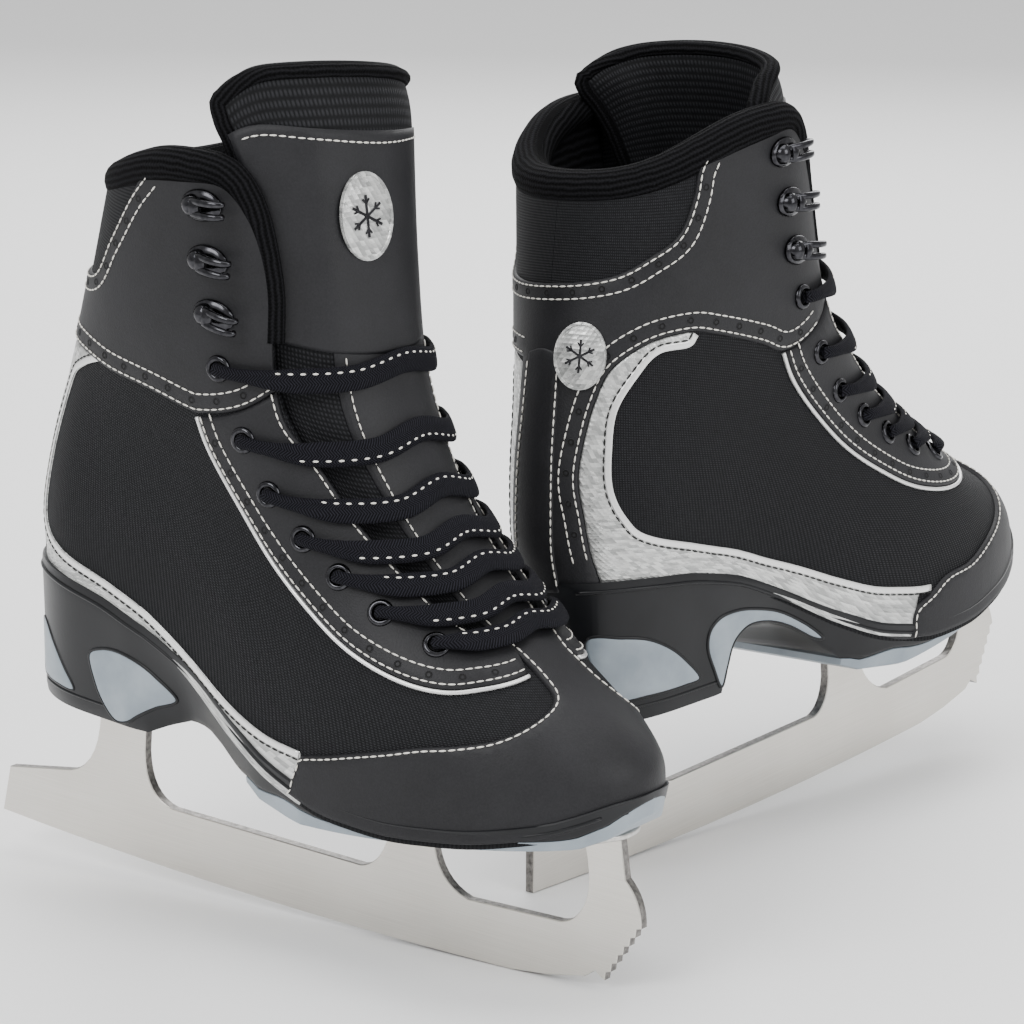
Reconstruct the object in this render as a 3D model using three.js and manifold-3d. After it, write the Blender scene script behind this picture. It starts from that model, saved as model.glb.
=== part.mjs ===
// A pair of figure skates: two mirrored lace-up boots, each on a heeled sole and a screwed-on steel blade.
// One skate is described in its own frame: X runs from heel to toe, Y to its inner side, Z up, in mm.
// x = 0 is the tail of the blade and z = 0 is the ice. The left skate is the mirror image of the right.
import * as THREE from 'three';
import * as BufferGeometryUtils from 'three/addons/utils/BufferGeometryUtils.js';
import Module from 'manifold-3d';

const wasm = await Module();
wasm.setup();

// ---------------------------------------------------------------- driving dimensions
const GAP = 0.3;                    // running gap between touching pieces
const BLADE_THICKNESS = 4;
const ROCKER_RADIUS = 2070;         // long curve of the skating edge
const ROCKER_LOW_X = 150;           // where the edge touches the ice when the skate is level
const PLATE_THICKNESS = 2;
const SHELL_THICKNESS = 3.4;        // upper, lining included
const PANEL_THICKNESS = 1.2;        // leather panels sewn on the upper
const HEEL_BASE_Z = 61;             // underside of the heel
const SOLE_GREY_THICKNESS = 3.6;    // softer lower layer of the forefoot sole
const LACE_RADIUS = 1.4;
const LACE_BEHIND = 7.5;            // depth of the lace's run behind the eyelets
const LACE_ABOVE = 4.8;             // height of a bar over the skin beside its eyelets
const EYELET_HOLE_RADIUS = 3.3;
const INSOLE_BOARD = 3;             // board that closes the bottom of the upper
const SKATES = [
  { side: 'left', mirror: -1, x: -186.6, y: 50.2, yaw: -33.74, pitch: 2.8, roll: -2.0 },
  { side: 'right', mirror: 1, x: 6.5, y: 0, yaw: 46.94, pitch: -4.0, roll: -4.0 },
];

// ---------------------------------------------------------------- materials
const paint = (color, roughness, metalness) =>
  new THREE.MeshStandardMaterial({ color, roughness, metalness });
const LOOKS = {
  nylon: paint(0x17181a, 0.85, 0),
  leather: paint(0x26272b, 0.55, 0),
  plush: paint(0x0d0d0f, 0.95, 0),
  sole: paint(0x111214, 0.4, 0),
  inlay: paint(0x8d98a3, 0.45, 0),
  steel: paint(0xc9c5bd, 0.35, 1),
  hardware: paint(0x3a3c40, 0.25, 1),
  lace: paint(0x0b0b0c, 0.9, 0),
};

// ---------------------------------------------------------------- small helpers
// Smooth curve through evenly spaced values, at 0..1.
function through(values, at) {
  const last = values.length - 1;
  const place = Math.min(Math.max(at, 0), 1) * last;
  const i = Math.min(Math.floor(place), last - 1);
  const f = place - i;
  const b = values[i];
  const c = values[i + 1];
  const a = i > 0 ? values[i - 1] : 2 * b - c;
  const d = i + 2 <= last ? values[i + 2] : 2 * c - b;
  const bend = 2 * a - 5 * b + 4 * c - d;
  const twist = 3 * b - a - 3 * c + d;
  return 0.5 * (2 * b + (c - a) * f + bend * f * f + twist * f * f * f);
}

// Value at x on straight stretches between [x, value] points.
function along(points, x) {
  const i = points.findIndex((p) => p[0] >= x);
  if (i <= 0) return points[i < 0 ? points.length - 1 : 0][1];
  const [x0, v0] = points[i - 1];
  const [x1, v1] = points[i];
  return v0 + (v1 - v0) * (x - x0) / (x1 - x0);
}

// The same, smoothed by averaging over a short span.
function eased(points, x, span = 6) {
  return (along(points, x - span) + 2 * along(points, x) + along(points, x + span)) / 4;
}

function toManifold(geometry) {
  const bare = geometry.clone();
  bare.deleteAttribute('normal');
  bare.deleteAttribute('uv');
  const merged = BufferGeometryUtils.mergeVertices(bare, 1e-5);
  const vertProperties = new Float32Array(merged.attributes.position.array);
  const triVerts = new Uint32Array(merged.index.array);
  return new wasm.Manifold(new wasm.Mesh({ numProp: 3, vertProperties, triVerts }));
}

function fromManifold(solid) {
  const mesh = solid.getMesh();
  const geometry = new THREE.BufferGeometry();
  geometry.setAttribute('position', new THREE.BufferAttribute(new Float32Array(mesh.vertProperties), 3));
  geometry.setIndex(new THREE.BufferAttribute(new Uint32Array(mesh.triVerts), 1));
  return geometry;
}

// The main body left by a cut, without loose slivers.
const largest = (solid) => solid.decompose().reduce((a, b) => (b.volume() > a.volume() ? b : a));

// Closed solid from stacked closed rings of points, capped at both ends.
function ringsToGeometry(rings) {
  const count = rings[0].length;
  const position = rings.flat().flat();
  const index = [];
  for (let r = 0; r + 1 < rings.length; r++) {
    for (let i = 0; i < count; i++) {
      const a = r * count + i;
      const b = r * count + (i + 1) % count;
      index.push(a, b, b + count, a, b + count, a + count);
    }
  }
  // An end is closed by strips between the two halves of its ring.
  const capRing = (r, flip) => {
    const at = (i) => r * count + (i + count) % count;
    for (let i = 0; i < count / 2; i++) {
      const [a, b, c, d] = [at(i), at(i + 1), at(-i - 1), at(-i)];
      const faces = [[a, b, c], [a, c, d]].filter((f) => new Set(f).size === 3);
      faces.forEach((f) => index.push(...(flip ? f.reverse() : f)));
    }
  };
  capRing(0, true);
  capRing(rings.length - 1, false);
  const geometry = new THREE.BufferGeometry();
  geometry.setAttribute('position', new THREE.Float32BufferAttribute(position, 3));
  geometry.setIndex(index);
  return faceOut(geometry);
}

// Turns a closed mesh the right way out.
function faceOut(geometry) {
  const p = geometry.attributes.position;
  const index = geometry.index.array;
  const corner = [new THREE.Vector3(), new THREE.Vector3(), new THREE.Vector3()];
  let volume = 0;
  for (let i = 0; i < index.length; i += 3) {
    corner.forEach((c, k) => c.fromBufferAttribute(p, index[i + k]));
    volume += corner[0].dot(corner[1].clone().cross(corner[2]));
  }
  if (volume < 0) {
    for (let i = 0; i < index.length; i += 3) [index[i + 1], index[i + 2]] = [index[i + 2], index[i + 1]];
  }
  return geometry;
}

// Extrudes a shape drawn in the XZ side view from y = low to y = high.
function sideExtrude(shape, low, high, curveSegments = 6) {
  const depth = high - low;
  const geometry = new THREE.ExtrudeGeometry(shape, { depth, bevelEnabled: false, curveSegments });
  geometry.rotateX(Math.PI / 2);
  geometry.translate(0, high, 0);
  return geometry;
}

// ---------------------------------------------------------------- the boot's outer surface
// Nine slices climb from the sole joint to the collar. Each runs from a back point to a front point in
// the side view, and bulges to a half width at every tenth of the way round from heel to toe.
const BACK_X = [22, 20.5, 22, 25.5, 31, 36.5, 42, 47.5, 53];
const BACK_Z = [115, 128, 142, 160, 180, 200, 220, 241, 262];
const FRONT_X = [277, 274, 263, 243, 215, 188, 168.5, 160, 156];
const FRONT_Z = [75, 87.5, 100, 113, 131, 156, 191, 230, 271];
const HALF_WIDTHS = [
  [0, 15.5, 28, 33, 37.5, 46, 50.5, 46, 34.5, 17.5, 0],
  [0, 16, 29, 34.5, 38.5, 44.5, 48, 44.5, 34, 18, 0],
  [0, 15, 28, 35, 38.5, 40.5, 41, 37.5, 29, 15.5, 0],
  [0, 15, 28.5, 38, 43, 45, 44.5, 39, 29, 15, 0],
  [0, 16, 30, 40.5, 46.5, 48.5, 47.5, 42.5, 32.5, 17.5, 0],
];
// Height of the joint between upper and sole, from heel to toe.
const SOLE_JOINT = [[20, 115], [42, 113.5], [66, 110], [88, 103.5], [110, 91], [130, 77.5], [150, 66.5],
  [175, 59.5], [205, 58.5], [235, 61.5], [260, 67], [279, 76]];
const TOE_SWING = 5;                // the toe swings to the inner side

const soleJoint = (x) => eased(SOLE_JOINT, x);

// Point of the outer surface: level 0 at the sole joint to 1 at the collar,
// way 0 at the heel to 1 at the toe.
function skin(level, way, side) {
  const backX = through(BACK_X, level);
  const backZ = through(BACK_Z, level);
  const frontX = through(FRONT_X, level);
  const frontZ = through(FRONT_Z, level);
  const across = (1 - Math.cos(Math.PI * way)) / 2;
  const x = backX + (frontX - backX) * across;
  const chord = backZ + (frontZ - backZ) * across;
  const settle = Math.pow(Math.max(1 - level / 0.75, 0), 1.6);
  const base = BACK_Z[0] + (FRONT_Z[0] - BACK_Z[0]) * (x - BACK_X[0]) / (FRONT_X[0] - BACK_X[0]);
  const z = chord + (soleJoint(x) - base) * settle;
  const half = through(HALF_WIDTHS.map((row) => through(row, way)), level);
  const swing = TOE_SWING * THREE.MathUtils.smoothstep(x, 150, 277) * Math.max(1 - level, 0);
  return new THREE.Vector3(x, side * half + swing, z);
}

// Outward normal by small steps along the surface.
function skinNormal(level, way, side) {
  const step = 0.004;
  const lo = Math.max(way - step, 0.001);
  const hi = Math.min(way + step, 0.999);
  const alongWay = skin(level, hi, side).sub(skin(level, lo, side));
  const down = Math.max(level - step, 0);
  const up = Math.min(level + step, 1);
  const alongLevel = skin(up, way, side).sub(skin(down, way, side));
  const normal = alongWay.cross(alongLevel).normalize();
  return side > 0 ? normal.negate() : normal;
}

// Surface point moved out (positive) or in (negative).
function skinAt(level, way, side, offset) {
  const clear = Math.min(Math.max(way, 0.0005), 0.9995);
  const point = skin(level, clear, side);
  return point.addScaledVector(skinNormal(level, clear, side), offset);
}

// Level and way of the surface point at a side-view place.
function findOnSkin(x, z) {
  let level = 0.5;
  let way = 0.5;
  for (let i = 0; i < 60; i++) {
    const here = skin(level, way, 1);
    const byWay = skin(level, way + 0.001, 1).sub(here).divideScalar(0.001);
    const byLevel = skin(level + 0.001, way, 1).sub(here).divideScalar(0.001);
    const det = byWay.x * byLevel.z - byLevel.x * byWay.z;
    const dx = x - here.x;
    const dz = z - here.z;
    way += THREE.MathUtils.clamp((dx * byLevel.z - byLevel.x * dz) / det, -0.1, 0.1);
    level += THREE.MathUtils.clamp((byWay.x * dz - dx * byWay.z) / det, -0.1, 0.1);
    way = THREE.MathUtils.clamp(way, 0.01, 0.99);
    level = THREE.MathUtils.clamp(level, 0, 0.998);
  }
  return [level, way];
}

// Sheet with thickness, over a grid of points: outer(u, v) and inner(u, v) for u, v in 0..1.
function sheet(columns, rows, outer, inner) {
  const position = [];
  const index = [];
  const width = columns + 1;
  const layer = width * (rows + 1);
  for (const side of [outer, inner]) {
    for (let j = 0; j <= rows; j++) {
      for (let i = 0; i <= columns; i++) position.push(...side(i / columns, j / rows).toArray());
    }
  }
  for (let j = 0; j < rows; j++) {
    for (let i = 0; i < columns; i++) {
      const a = j * width + i;
      const c = a + width;
      index.push(a, a + 1, c + 1, a, c + 1, c);
      index.push(layer + a, layer + c + 1, layer + a + 1, layer + a, layer + c, layer + c + 1);
    }
  }
  const rim = [];
  for (let i = 0; i < columns; i++) rim.push(i);
  for (let j = 0; j < rows; j++) rim.push(j * width + columns);
  for (let i = columns; i > 0; i--) rim.push(rows * width + i);
  for (let j = rows; j > 0; j--) rim.push(j * width);
  rim.forEach((a, k) => {
    const b = rim[(k + 1) % rim.length];
    index.push(a, layer + b, b, a, layer + a, layer + b);
  });
  const geometry = new THREE.BufferGeometry();
  geometry.setAttribute('position', new THREE.Float32BufferAttribute(position, 3));
  geometry.setIndex(index);
  return faceOut(BufferGeometryUtils.mergeVertices(geometry, 1e-5));
}

// ---------------------------------------------------------------- upper
// Eyelets of one side, as side-view places from the top down, and the hooks above them.
const EYELETS = [[123, 200], [133, 177], [143.5, 160], [157.5, 147], [172, 136.5], [188.5, 127], [208, 119]];
const HOOKS = [[115.5, 254.5], [118, 236], [120.8, 217.8]];
// Front edge of a side panel, from the collar down to the toe end of the throat that the tongue fills.
const THROAT = [[128, 267], [134.5, 256], [138, 236], [141, 215], [143, 198], [146, 183], [153, 169],
  [165, 156.5], [179, 146], [195, 136.5], [214, 127.5], [224, 122]];
const THROAT_END_LEVEL = 0.45;

const frontCentre = (level) => new THREE.Vector3(through(FRONT_X, level), 0, through(FRONT_Z, level));
const throatByLevel = THROAT.map(([x, z]) => findOnSkin(x, z)).sort((a, b) => a[0] - b[0]);
const throatWay = (level) => along(throatByLevel, level);

// Wedge that opens the throat, from the lowest lace to above the collar.
function throatCutter() {
  const rings = [];
  const steps = 10;
  for (let k = 0; k <= steps; k++) {
    const level = THROAT_END_LEVEL + (1 - THROAT_END_LEVEL) * k / steps;
    const edge = skinAt(level, throatWay(level), 1, -8);
    const back = new THREE.Vector3(through(BACK_X, level), 0, through(BACK_Z, level));
    const forward = frontCentre(level).sub(back).normalize().multiplyScalar(70);
    const half = Math.abs(skin(level, throatWay(level), 1).y);
    const rise = k === steps ? 12 : 0;
    const near = [edge.x, edge.z + rise];
    const far = [edge.x + forward.x, edge.z + forward.z + rise];
    rings.push([[near[0], 0, near[1]], [near[0], half, near[1]], [far[0], half, far[1]],
      [far[0], 0, far[1]], [far[0], -half, far[1]], [near[0], -half, near[1]]]);
  }
  return toManifold(ringsToGeometry(rings));
}

function eyeletHoles() {
  const up = new THREE.Vector3(0, 1, 0);
  let holes = null;
  for (const side of [1, -1]) {
    for (const [x, z] of EYELETS) {
      const [level, way] = findOnSkin(x, z);
      const hole = new THREE.CylinderGeometry(EYELET_HOLE_RADIUS, EYELET_HOLE_RADIUS, 14, 6);
      hole.applyQuaternion(new THREE.Quaternion().setFromUnitVectors(up, skinNormal(level, way, side)));
      hole.translate(...skinAt(level, way, side, 0).toArray());
      holes = holes ? holes.add(toManifold(hole)) : toManifold(hole);
    }
  }
  return holes;
}

// Level where the collar is cut: lower behind the ankle than beside it.
const collarLevel = (way) => 0.945 + 0.055 * THREE.MathUtils.smoothstep(way, 0.12, 0.5);

// Closed volume of the boot up to the collar, moved in by a distance.
function bootVolume(inset, steps = 10, rows = 9) {
  const rings = [];
  for (let k = 0; k <= rows; k++) {
    const at = (way, side) => skinAt(collarLevel(way) * k / rows, way, side, -inset).toArray();
    const ring = [];
    for (let i = 0; i < steps; i++) ring.push(at(i / steps, 1));
    for (let i = steps; i > 0; i--) ring.push(at(i / steps, -1));
    rings.push(ring);
  }
  return toManifold(ringsToGeometry(rings));
}

function upperShell() {
  const inner = bootVolume(SHELL_THICKNESS);
  const hollow = inner.translate([0, 0, INSOLE_BOARD]).add(inner.translate([0, 0, INSOLE_BOARD + 2]));
  const shell = bootVolume(0).subtract(hollow);
  return fromManifold(shell.subtract(throatCutter()).subtract(eyeletHoles()));
}

// Thin layer over the whole boot above the sole's rim, from which the sewn-on leather pieces are cut.
function sewnLayer() {
  const under = bootVolume(-GAP);
  const sole = soleSolid(SOLE_STATIONS, () => 40, (x) => soleRim(x) + GAP, -1);
  return bootVolume(-GAP - PANEL_THICKNESS).subtract(under.add(sole));
}

// Piece of the layer inside a side-view outline, on one side of the boot or (side 0) right across it.
function sewnPiece(outline, side) {
  const shape = new THREE.Shape(outline.map(([x, z]) => new THREE.Vector2(x, z)));
  const [low, high] = side > 0 ? [1, 80] : [-80, -1];
  const prism = toManifold(sideExtrude(shape, side === 0 ? -80 : low, side === 0 ? 80 : high));
  return fromManifold(largest(sewnLayer().intersect(prism).subtract(eyeletHoles())));
}

// Leather cap over the toes.
const TOE_CAP = [[164, 57], [166, 78], [180, 88], [205, 95], [226, 103], [240, 113], [244, 125],
  [300, 125], [300, 57]];

// Band beside the throat that carries the eyelets: its lower edge, then back along the throat.
const EYESTAY = [[114, 185], [121, 166], [134, 148], [152, 132], [172, 120], [194, 111], [224, 106],
  [236, 113], [231, 119], [215, 127], [197, 136], [180, 145.5], [166, 156], [154, 168],
  [147, 180], [143, 190]];

// Panel round the ankle that carries the hooks: lower edge, then back along the collar.
const ANKLE_PANEL = [[40, 205], [68, 203], [91, 196], [110, 190], [126, 190], [142, 195], [140, 215],
  [137, 236], [133.5, 256], [127, 264], [109, 263], [91, 258], [77, 245], [62, 233], [40, 227]];

// Padded lining round the inside of the collar, standing a little above its edge.
const COLLAR_RIM = 4;
const COLLAR_CLEARANCE = 1.7;
const COLLAR_REACH = 0.48;
function collarPadding() {
  const half = COLLAR_REACH;
  const at = (thickness) => (u, v) => {
    const way = Math.abs(2 * u - 1) * half;
    const level = 0.8 + (collarLevel(way) - 0.005 - 0.8) * v;
    const belly = thickness * (0.55 + 0.45 * Math.sin(Math.PI * (0.15 + 0.8 * v)));
    const point = skinAt(level, way, u < 0.5 ? -1 : 1, -SHELL_THICKNESS - COLLAR_CLEARANCE - belly);
    return point.add(new THREE.Vector3(0, 0, v === 1 ? COLLAR_RIM : 0));
  };
  return sheet(14, 3, at(0), at(9));
}

// Tongue: a curved pad that fills the throat and runs on under both edges. The part above the laces is
// a piece of its own, so that it can flex.
const TONGUE_LEVELS = { base: [0.47, 0.792], top: [0.8, 1] };
const TONGUE_RISE = 23;
function tongue(part) {
  const [low, high] = TONGUE_LEVELS[part];
  const thickness = 6;
  const at = (depth) => (u, v) => {
    const level = low + (high - low) * v;
    const aside = Math.abs(2 * u - 1);
    const edge = Math.min(throatWay(level), 0.93) - 0.035;
    const way = 1 - (1 - edge) * aside;
    const tuck = THREE.MathUtils.smoothstep(aside, 0.45, 0.8) * (SHELL_THICKNESS + 0.6);
    const rise = part === 'top' ? TONGUE_RISE * v * v * (1 - 0.55 * aside ** 2) : 0;
    const point = skinAt(level, way, u < 0.5 ? -1 : 1, -1 - tuck - depth);
    return point.add(new THREE.Vector3(-0.25 * rise, 0, rise));
  };
  return sheet(8, 5, at(0), at(thickness));
}

// Removable footbed.
function insole() {
  const stations = 12;
  const rings = [];
  for (let k = 0; k <= stations; k++) {
    const way = 0.1 + 0.84 * k / stations;
    const edge = skinAt(0.02, way, 1, -SHELL_THICKNESS - 3);
    const other = skinAt(0.02, way, -1, -SHELL_THICKNESS - 3);
    const x = edge.x;
    const low = soleJoint(x) + INSOLE_BOARD + 2;
    const middle = (edge.y + other.y) / 2;
    const ring = [[x, edge.y, low + 3.5], [x, middle, low + 3.5], [x, other.y, low + 3.5],
      [x, other.y, low], [x, middle, low], [x, edge.y, low]];
    rings.push(ring);
  }
  return ringsToGeometry(rings);
}

// ---------------------------------------------------------------- sole and heel
// Underside of the sole unit: flat heel base, raised waist, then the straight forefoot bed of the plate.
const PLATE_BED = [[165, 49.8], [265, 60.8]];
const SOLE_UNDERSIDE = [[20, 112], [23.5, 104], [28, 66], [29.5, HEEL_BASE_Z], [87, HEEL_BASE_Z], [96, 65.5],
  [106, 69.5], [114, 69], [122, 65], [132, 58.5], [144, 52.5], ...PLATE_BED, [272, 64], [279, 71]];
const SOLE_FLARE = [[20, 5], [80, 5], [105, 9], [130, 8], [160, 4], [279, 3]];
const SOLE_LIP = 1.8;               // the sole stands out past the upper and rises round it
const SOLE_ENDS = [BACK_X[0] - SOLE_LIP, FRONT_X[0] + SOLE_LIP];
const soleUnderside = (x) => along(SOLE_UNDERSIDE, x);
function soleHalf(x) {
  const across = THREE.MathUtils.clamp((x - SOLE_ENDS[0]) / (SOLE_ENDS[1] - SOLE_ENDS[0]), 0, 1);
  const way = Math.acos(1 - 2 * across) / Math.PI;
  return through(HALF_WIDTHS[0], way) + SOLE_LIP * Math.min(1, 12 * Math.sin(Math.PI * way));
}
const soleSwing = (x) => TOE_SWING * THREE.MathUtils.smoothstep(x, 150, 277);

// Solid between two heights along the sole; inset narrows it and the flare widens its top.
function soleSolid(xs, bottom, top, inset) {
  const rings = xs.map((x) => {
    const flare = along(SOLE_FLARE, x);
    const half = Math.max(soleHalf(x) - inset, 1);
    const lowHalf = Math.max(half - flare, 0.8);
    const [zl, zh] = [bottom(x), top(x)];
    const zm = zl + (zh - zl) * 0.45;
    const mid = half - flare * 0.55;
    const swing = soleSwing(x);
    return [[x, swing, zh], [x, half + swing, zh], [x, mid + swing, zm], [x, lowHalf + swing, zl],
      [x, swing, zl], [x, -lowHalf + swing, zl], [x, -mid + swing, zm], [x, -half + swing, zh]];
  });
  return toManifold(ringsToGeometry(rings));
}

// Drop-shaped window through the heel.
function heelWindow(shrink) {
  const shape = new THREE.Shape();
  const [left, right, low, high] = [47 + shrink, 87 - shrink, 72 + shrink, 98 - shrink];
  shape.moveTo(left, high);
  shape.quadraticCurveTo(left + 1, low + 4, left + 8, low);
  shape.lineTo(right - 13, low);
  shape.quadraticCurveTo(right - 2, high - 10, right, high);
  shape.lineTo(left, high);
  return shape;
}

const SOLE_STATIONS = [20.3, 23.5, 28, 29.5, 38, 50, 70, 87, 96, 106, 114, 122, 132, 144, 154, 165,
  180, 197, 215, 232, 247, 258, 265, 272, 275, 278.7];
const soleRim = (x) => soleJoint(x) + 1.6;
const greyDepth = (x) => SOLE_GREY_THICKNESS * THREE.MathUtils.smoothstep(x, 128, 142);

function outsole() {
  const block = soleSolid(SOLE_STATIONS, (x) => soleUnderside(x) + greyDepth(x), soleRim, 0);
  const socket = bootVolume(-GAP).translate([0, 0, -GAP]);
  const window = toManifold(sideExtrude(heelWindow(0), -60, 60));
  return fromManifold(largest(block.subtract(socket).subtract(window)));
}

function heelCore() {
  const drop = toManifold(sideExtrude(heelWindow(GAP), -60, 60));
  const body = soleSolid([29.5, 38, 50, 70, 87], () => HEEL_BASE_Z, (x) => soleJoint(x), 1.5);
  return fromManifold(drop.intersect(body));
}

function soleLayer() {
  const xs = SOLE_STATIONS.filter((x) => x >= 144 && x <= 275);
  return fromManifold(soleSolid(xs, soleUnderside, (x) => soleUnderside(x) + greyDepth(x) - GAP, 2.2));
}

// ---------------------------------------------------------------- blade
const HEEL_PLATE_TOP = HEEL_BASE_Z - GAP;
const rocker = (x) => (x - ROCKER_LOW_X) ** 2 / (2 * ROCKER_RADIUS);
const bedHeight = (x) => along(PLATE_BED, x);

function bladeShape() {
  const shape = new THREE.Shape();
  shape.moveTo(0, rocker(0));
  for (let x = 30; x <= 225; x += 32.5) shape.lineTo(x, rocker(x));
  shape.lineTo(240, 3.3);
  shape.lineTo(254.8, 6.6);
  shape.lineTo(258.5, 9.5);
  // Toe picks: the drag pick at the bottom, then smaller teeth up the front.
  const teeth = 6;
  const [low, high] = [[262.5, 7.0], [275.4, 28.5]];
  for (let k = 0; k < teeth; k++) {
    const f = k / teeth;
    const x = low[0] + (high[0] - low[0]) * f;
    const z = low[1] + (high[1] - low[1]) * f;
    shape.lineTo(x, z);
    shape.lineTo(x + 0.2, z + 2.9);
  }
  shape.lineTo(275.4, 28.5);
  shape.quadraticCurveTo(275, 38, 268, 44);
  shape.lineTo(265, bedHeight(265) - PLATE_THICKNESS - 2 * GAP);
  shape.lineTo(250, bedHeight(250) - PLATE_THICKNESS - 2 * GAP);
  shape.quadraticCurveTo(257, 37, 251, 28.5);
  shape.quadraticCurveTo(248, 24, 243, 23.4);
  shape.lineTo(206, 21.8);
  shape.quadraticCurveTo(193, 25, 190.5, 40);
  shape.lineTo(190.5, bedHeight(190.5) - PLATE_THICKNESS - 2 * GAP);
  shape.lineTo(172.5, bedHeight(172.5) - PLATE_THICKNESS - 2 * GAP);
  shape.lineTo(171.5, 36);
  shape.quadraticCurveTo(169, 25, 161, 23.2);
  shape.lineTo(78, 23.8);
  shape.quadraticCurveTo(66, 26, 64.6, 42);
  shape.lineTo(64.6, HEEL_PLATE_TOP - PLATE_THICKNESS - GAP);
  shape.lineTo(43.5, HEEL_PLATE_TOP - PLATE_THICKNESS - GAP);
  shape.quadraticCurveTo(45.5, 32, 31, 27.8);
  shape.lineTo(2.5, 22.6);
  shape.lineTo(0, rocker(0));
  return shape;
}

// Flat plate under the heel or the sole: half widths by x, top height by x.
function plateSolid(widths, top) {
  const rings = widths.map(([x, half]) => {
    const z = top(x);
    return [[x, 0, z], [x, half, z], [x, half, z - PLATE_THICKNESS], [x, 0, z - PLATE_THICKNESS],
      [x, -half, z - PLATE_THICKNESS], [x, -half, z]];
  });
  return ringsToGeometry(rings);
}

const HEEL_PLATE = [[31, 9], [36, 15], [46, 18], [66, 18], [79, 13.5], [86, 9]];
const SOLE_PLATE = [[168, 9], [176, 15], [192, 20], [215, 25], [238, 27], [256, 22], [268, 9]];
const heelPlate = () => plateSolid(HEEL_PLATE, () => HEEL_PLATE_TOP);
const solePlate = () => plateSolid(SOLE_PLATE, (x) => bedHeight(x) - GAP);

// Domed screw head, placed under a plate.
function screwHead() {
  const profile = [[0, -2.3], [3.2, -1.2], [3.6, 0], [0, 0]].map(([r, y]) => new THREE.Vector2(r, y));
  const geometry = new THREE.LatheGeometry(profile, 7);
  geometry.rotateX(Math.PI / 2);
  return geometry;
}
const HEEL_SCREWS = [[38.5, 0], [74, 8.5], [74, -8.5]];
const SOLE_SCREWS = [[199, 13], [199, -13], [242, 18], [242, -18]];

// ---------------------------------------------------------------- lace and hooks
// Seven bars cross the tongue; between them the lace runs down behind the eyelets.
const LACE_CENTRE_LEVELS = [0.79, 0.715, 0.655, 0.605, 0.56, 0.515, 0.472];

// Height of a bar over the skin at the middle of the tongue, from the top bar down.
const LACE_MIDDLE = [1.6, 1.8, 2.1, 2.6, 3.2, 3.8, 4.2];

function laceRoute() {
  const stops = [];
  const put = (level, way, side, offset) => stops.push(skinAt(level, way, side, offset));
  EYELETS.forEach(([x, z], k) => {
    const [level, way] = findOnSkin(x, z);
    const first = k % 2 ? -1 : 1;
    const middle = LACE_CENTRE_LEVELS[k];
    const over = (f, side) => {
      const offset = LACE_ABOVE + (LACE_MIDDLE[k] - LACE_ABOVE) * f;
      put(level + (middle - level) * f, way + (1 - way) * f, side, offset);
    };
    const thread = (side, offsets) => offsets.forEach((offset) => put(level, way, side, offset));
    thread(first, [-LACE_BEHIND, -1, LACE_ABOVE - 1]);
    [0.12, 0.33, 0.66].forEach((f) => over(f, first));
    put(middle, 1, 1, LACE_MIDDLE[k]);
    [0.66, 0.33, 0.12].forEach((f) => over(f, -first));
    thread(-first, [LACE_ABOVE - 1, -1, -LACE_BEHIND]);
  });
  return stops;
}

// Round tube with a ring at each point of a route.
function tube(points, radius, sides = 6) {
  const last = points.length - 1;
  const across = new THREE.Vector3(1, 0, 0);
  const rings = points.map((point, i) => {
    const heading = points[Math.min(i + 1, last)].clone().sub(points[Math.max(i - 1, 0)]).normalize();
    across.addScaledVector(heading, -across.dot(heading)).normalize();
    const other = heading.clone().cross(across);
    const ring = [];
    for (let k = 0; k < sides; k++) {
      const angle = 2 * Math.PI * k / sides;
      const corner = point.clone().addScaledVector(across, radius * Math.cos(angle));
      ring.push(corner.addScaledVector(other, radius * Math.sin(angle)).toArray());
    }
    return ring;
  });
  return ringsToGeometry(rings);
}

// Lace hook: an oval foot, a post and a claw that opens towards the toe.
function hook() {
  const foot = new THREE.CylinderGeometry(4.6, 5, 1.4, 8);
  foot.scale(1, 1, 1.25);
  foot.translate(0, 0.7, 0);
  const claw = new THREE.Shape();
  claw.moveTo(-3, 1);
  claw.lineTo(1, 1);
  claw.lineTo(1, 3.4);
  claw.lineTo(7.4, 3.8);
  claw.lineTo(8, 2.6);
  claw.lineTo(9.4, 3);
  claw.lineTo(8.4, 5.6);
  claw.lineTo(-1, 5.6);
  claw.lineTo(-3, 4);
  const body = new THREE.ExtrudeGeometry(claw, { depth: 5.4, bevelEnabled: false });
  body.translate(0, 0, -2.7);
  return fromManifold(toManifold(foot).add(toManifold(body)));
}

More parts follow.
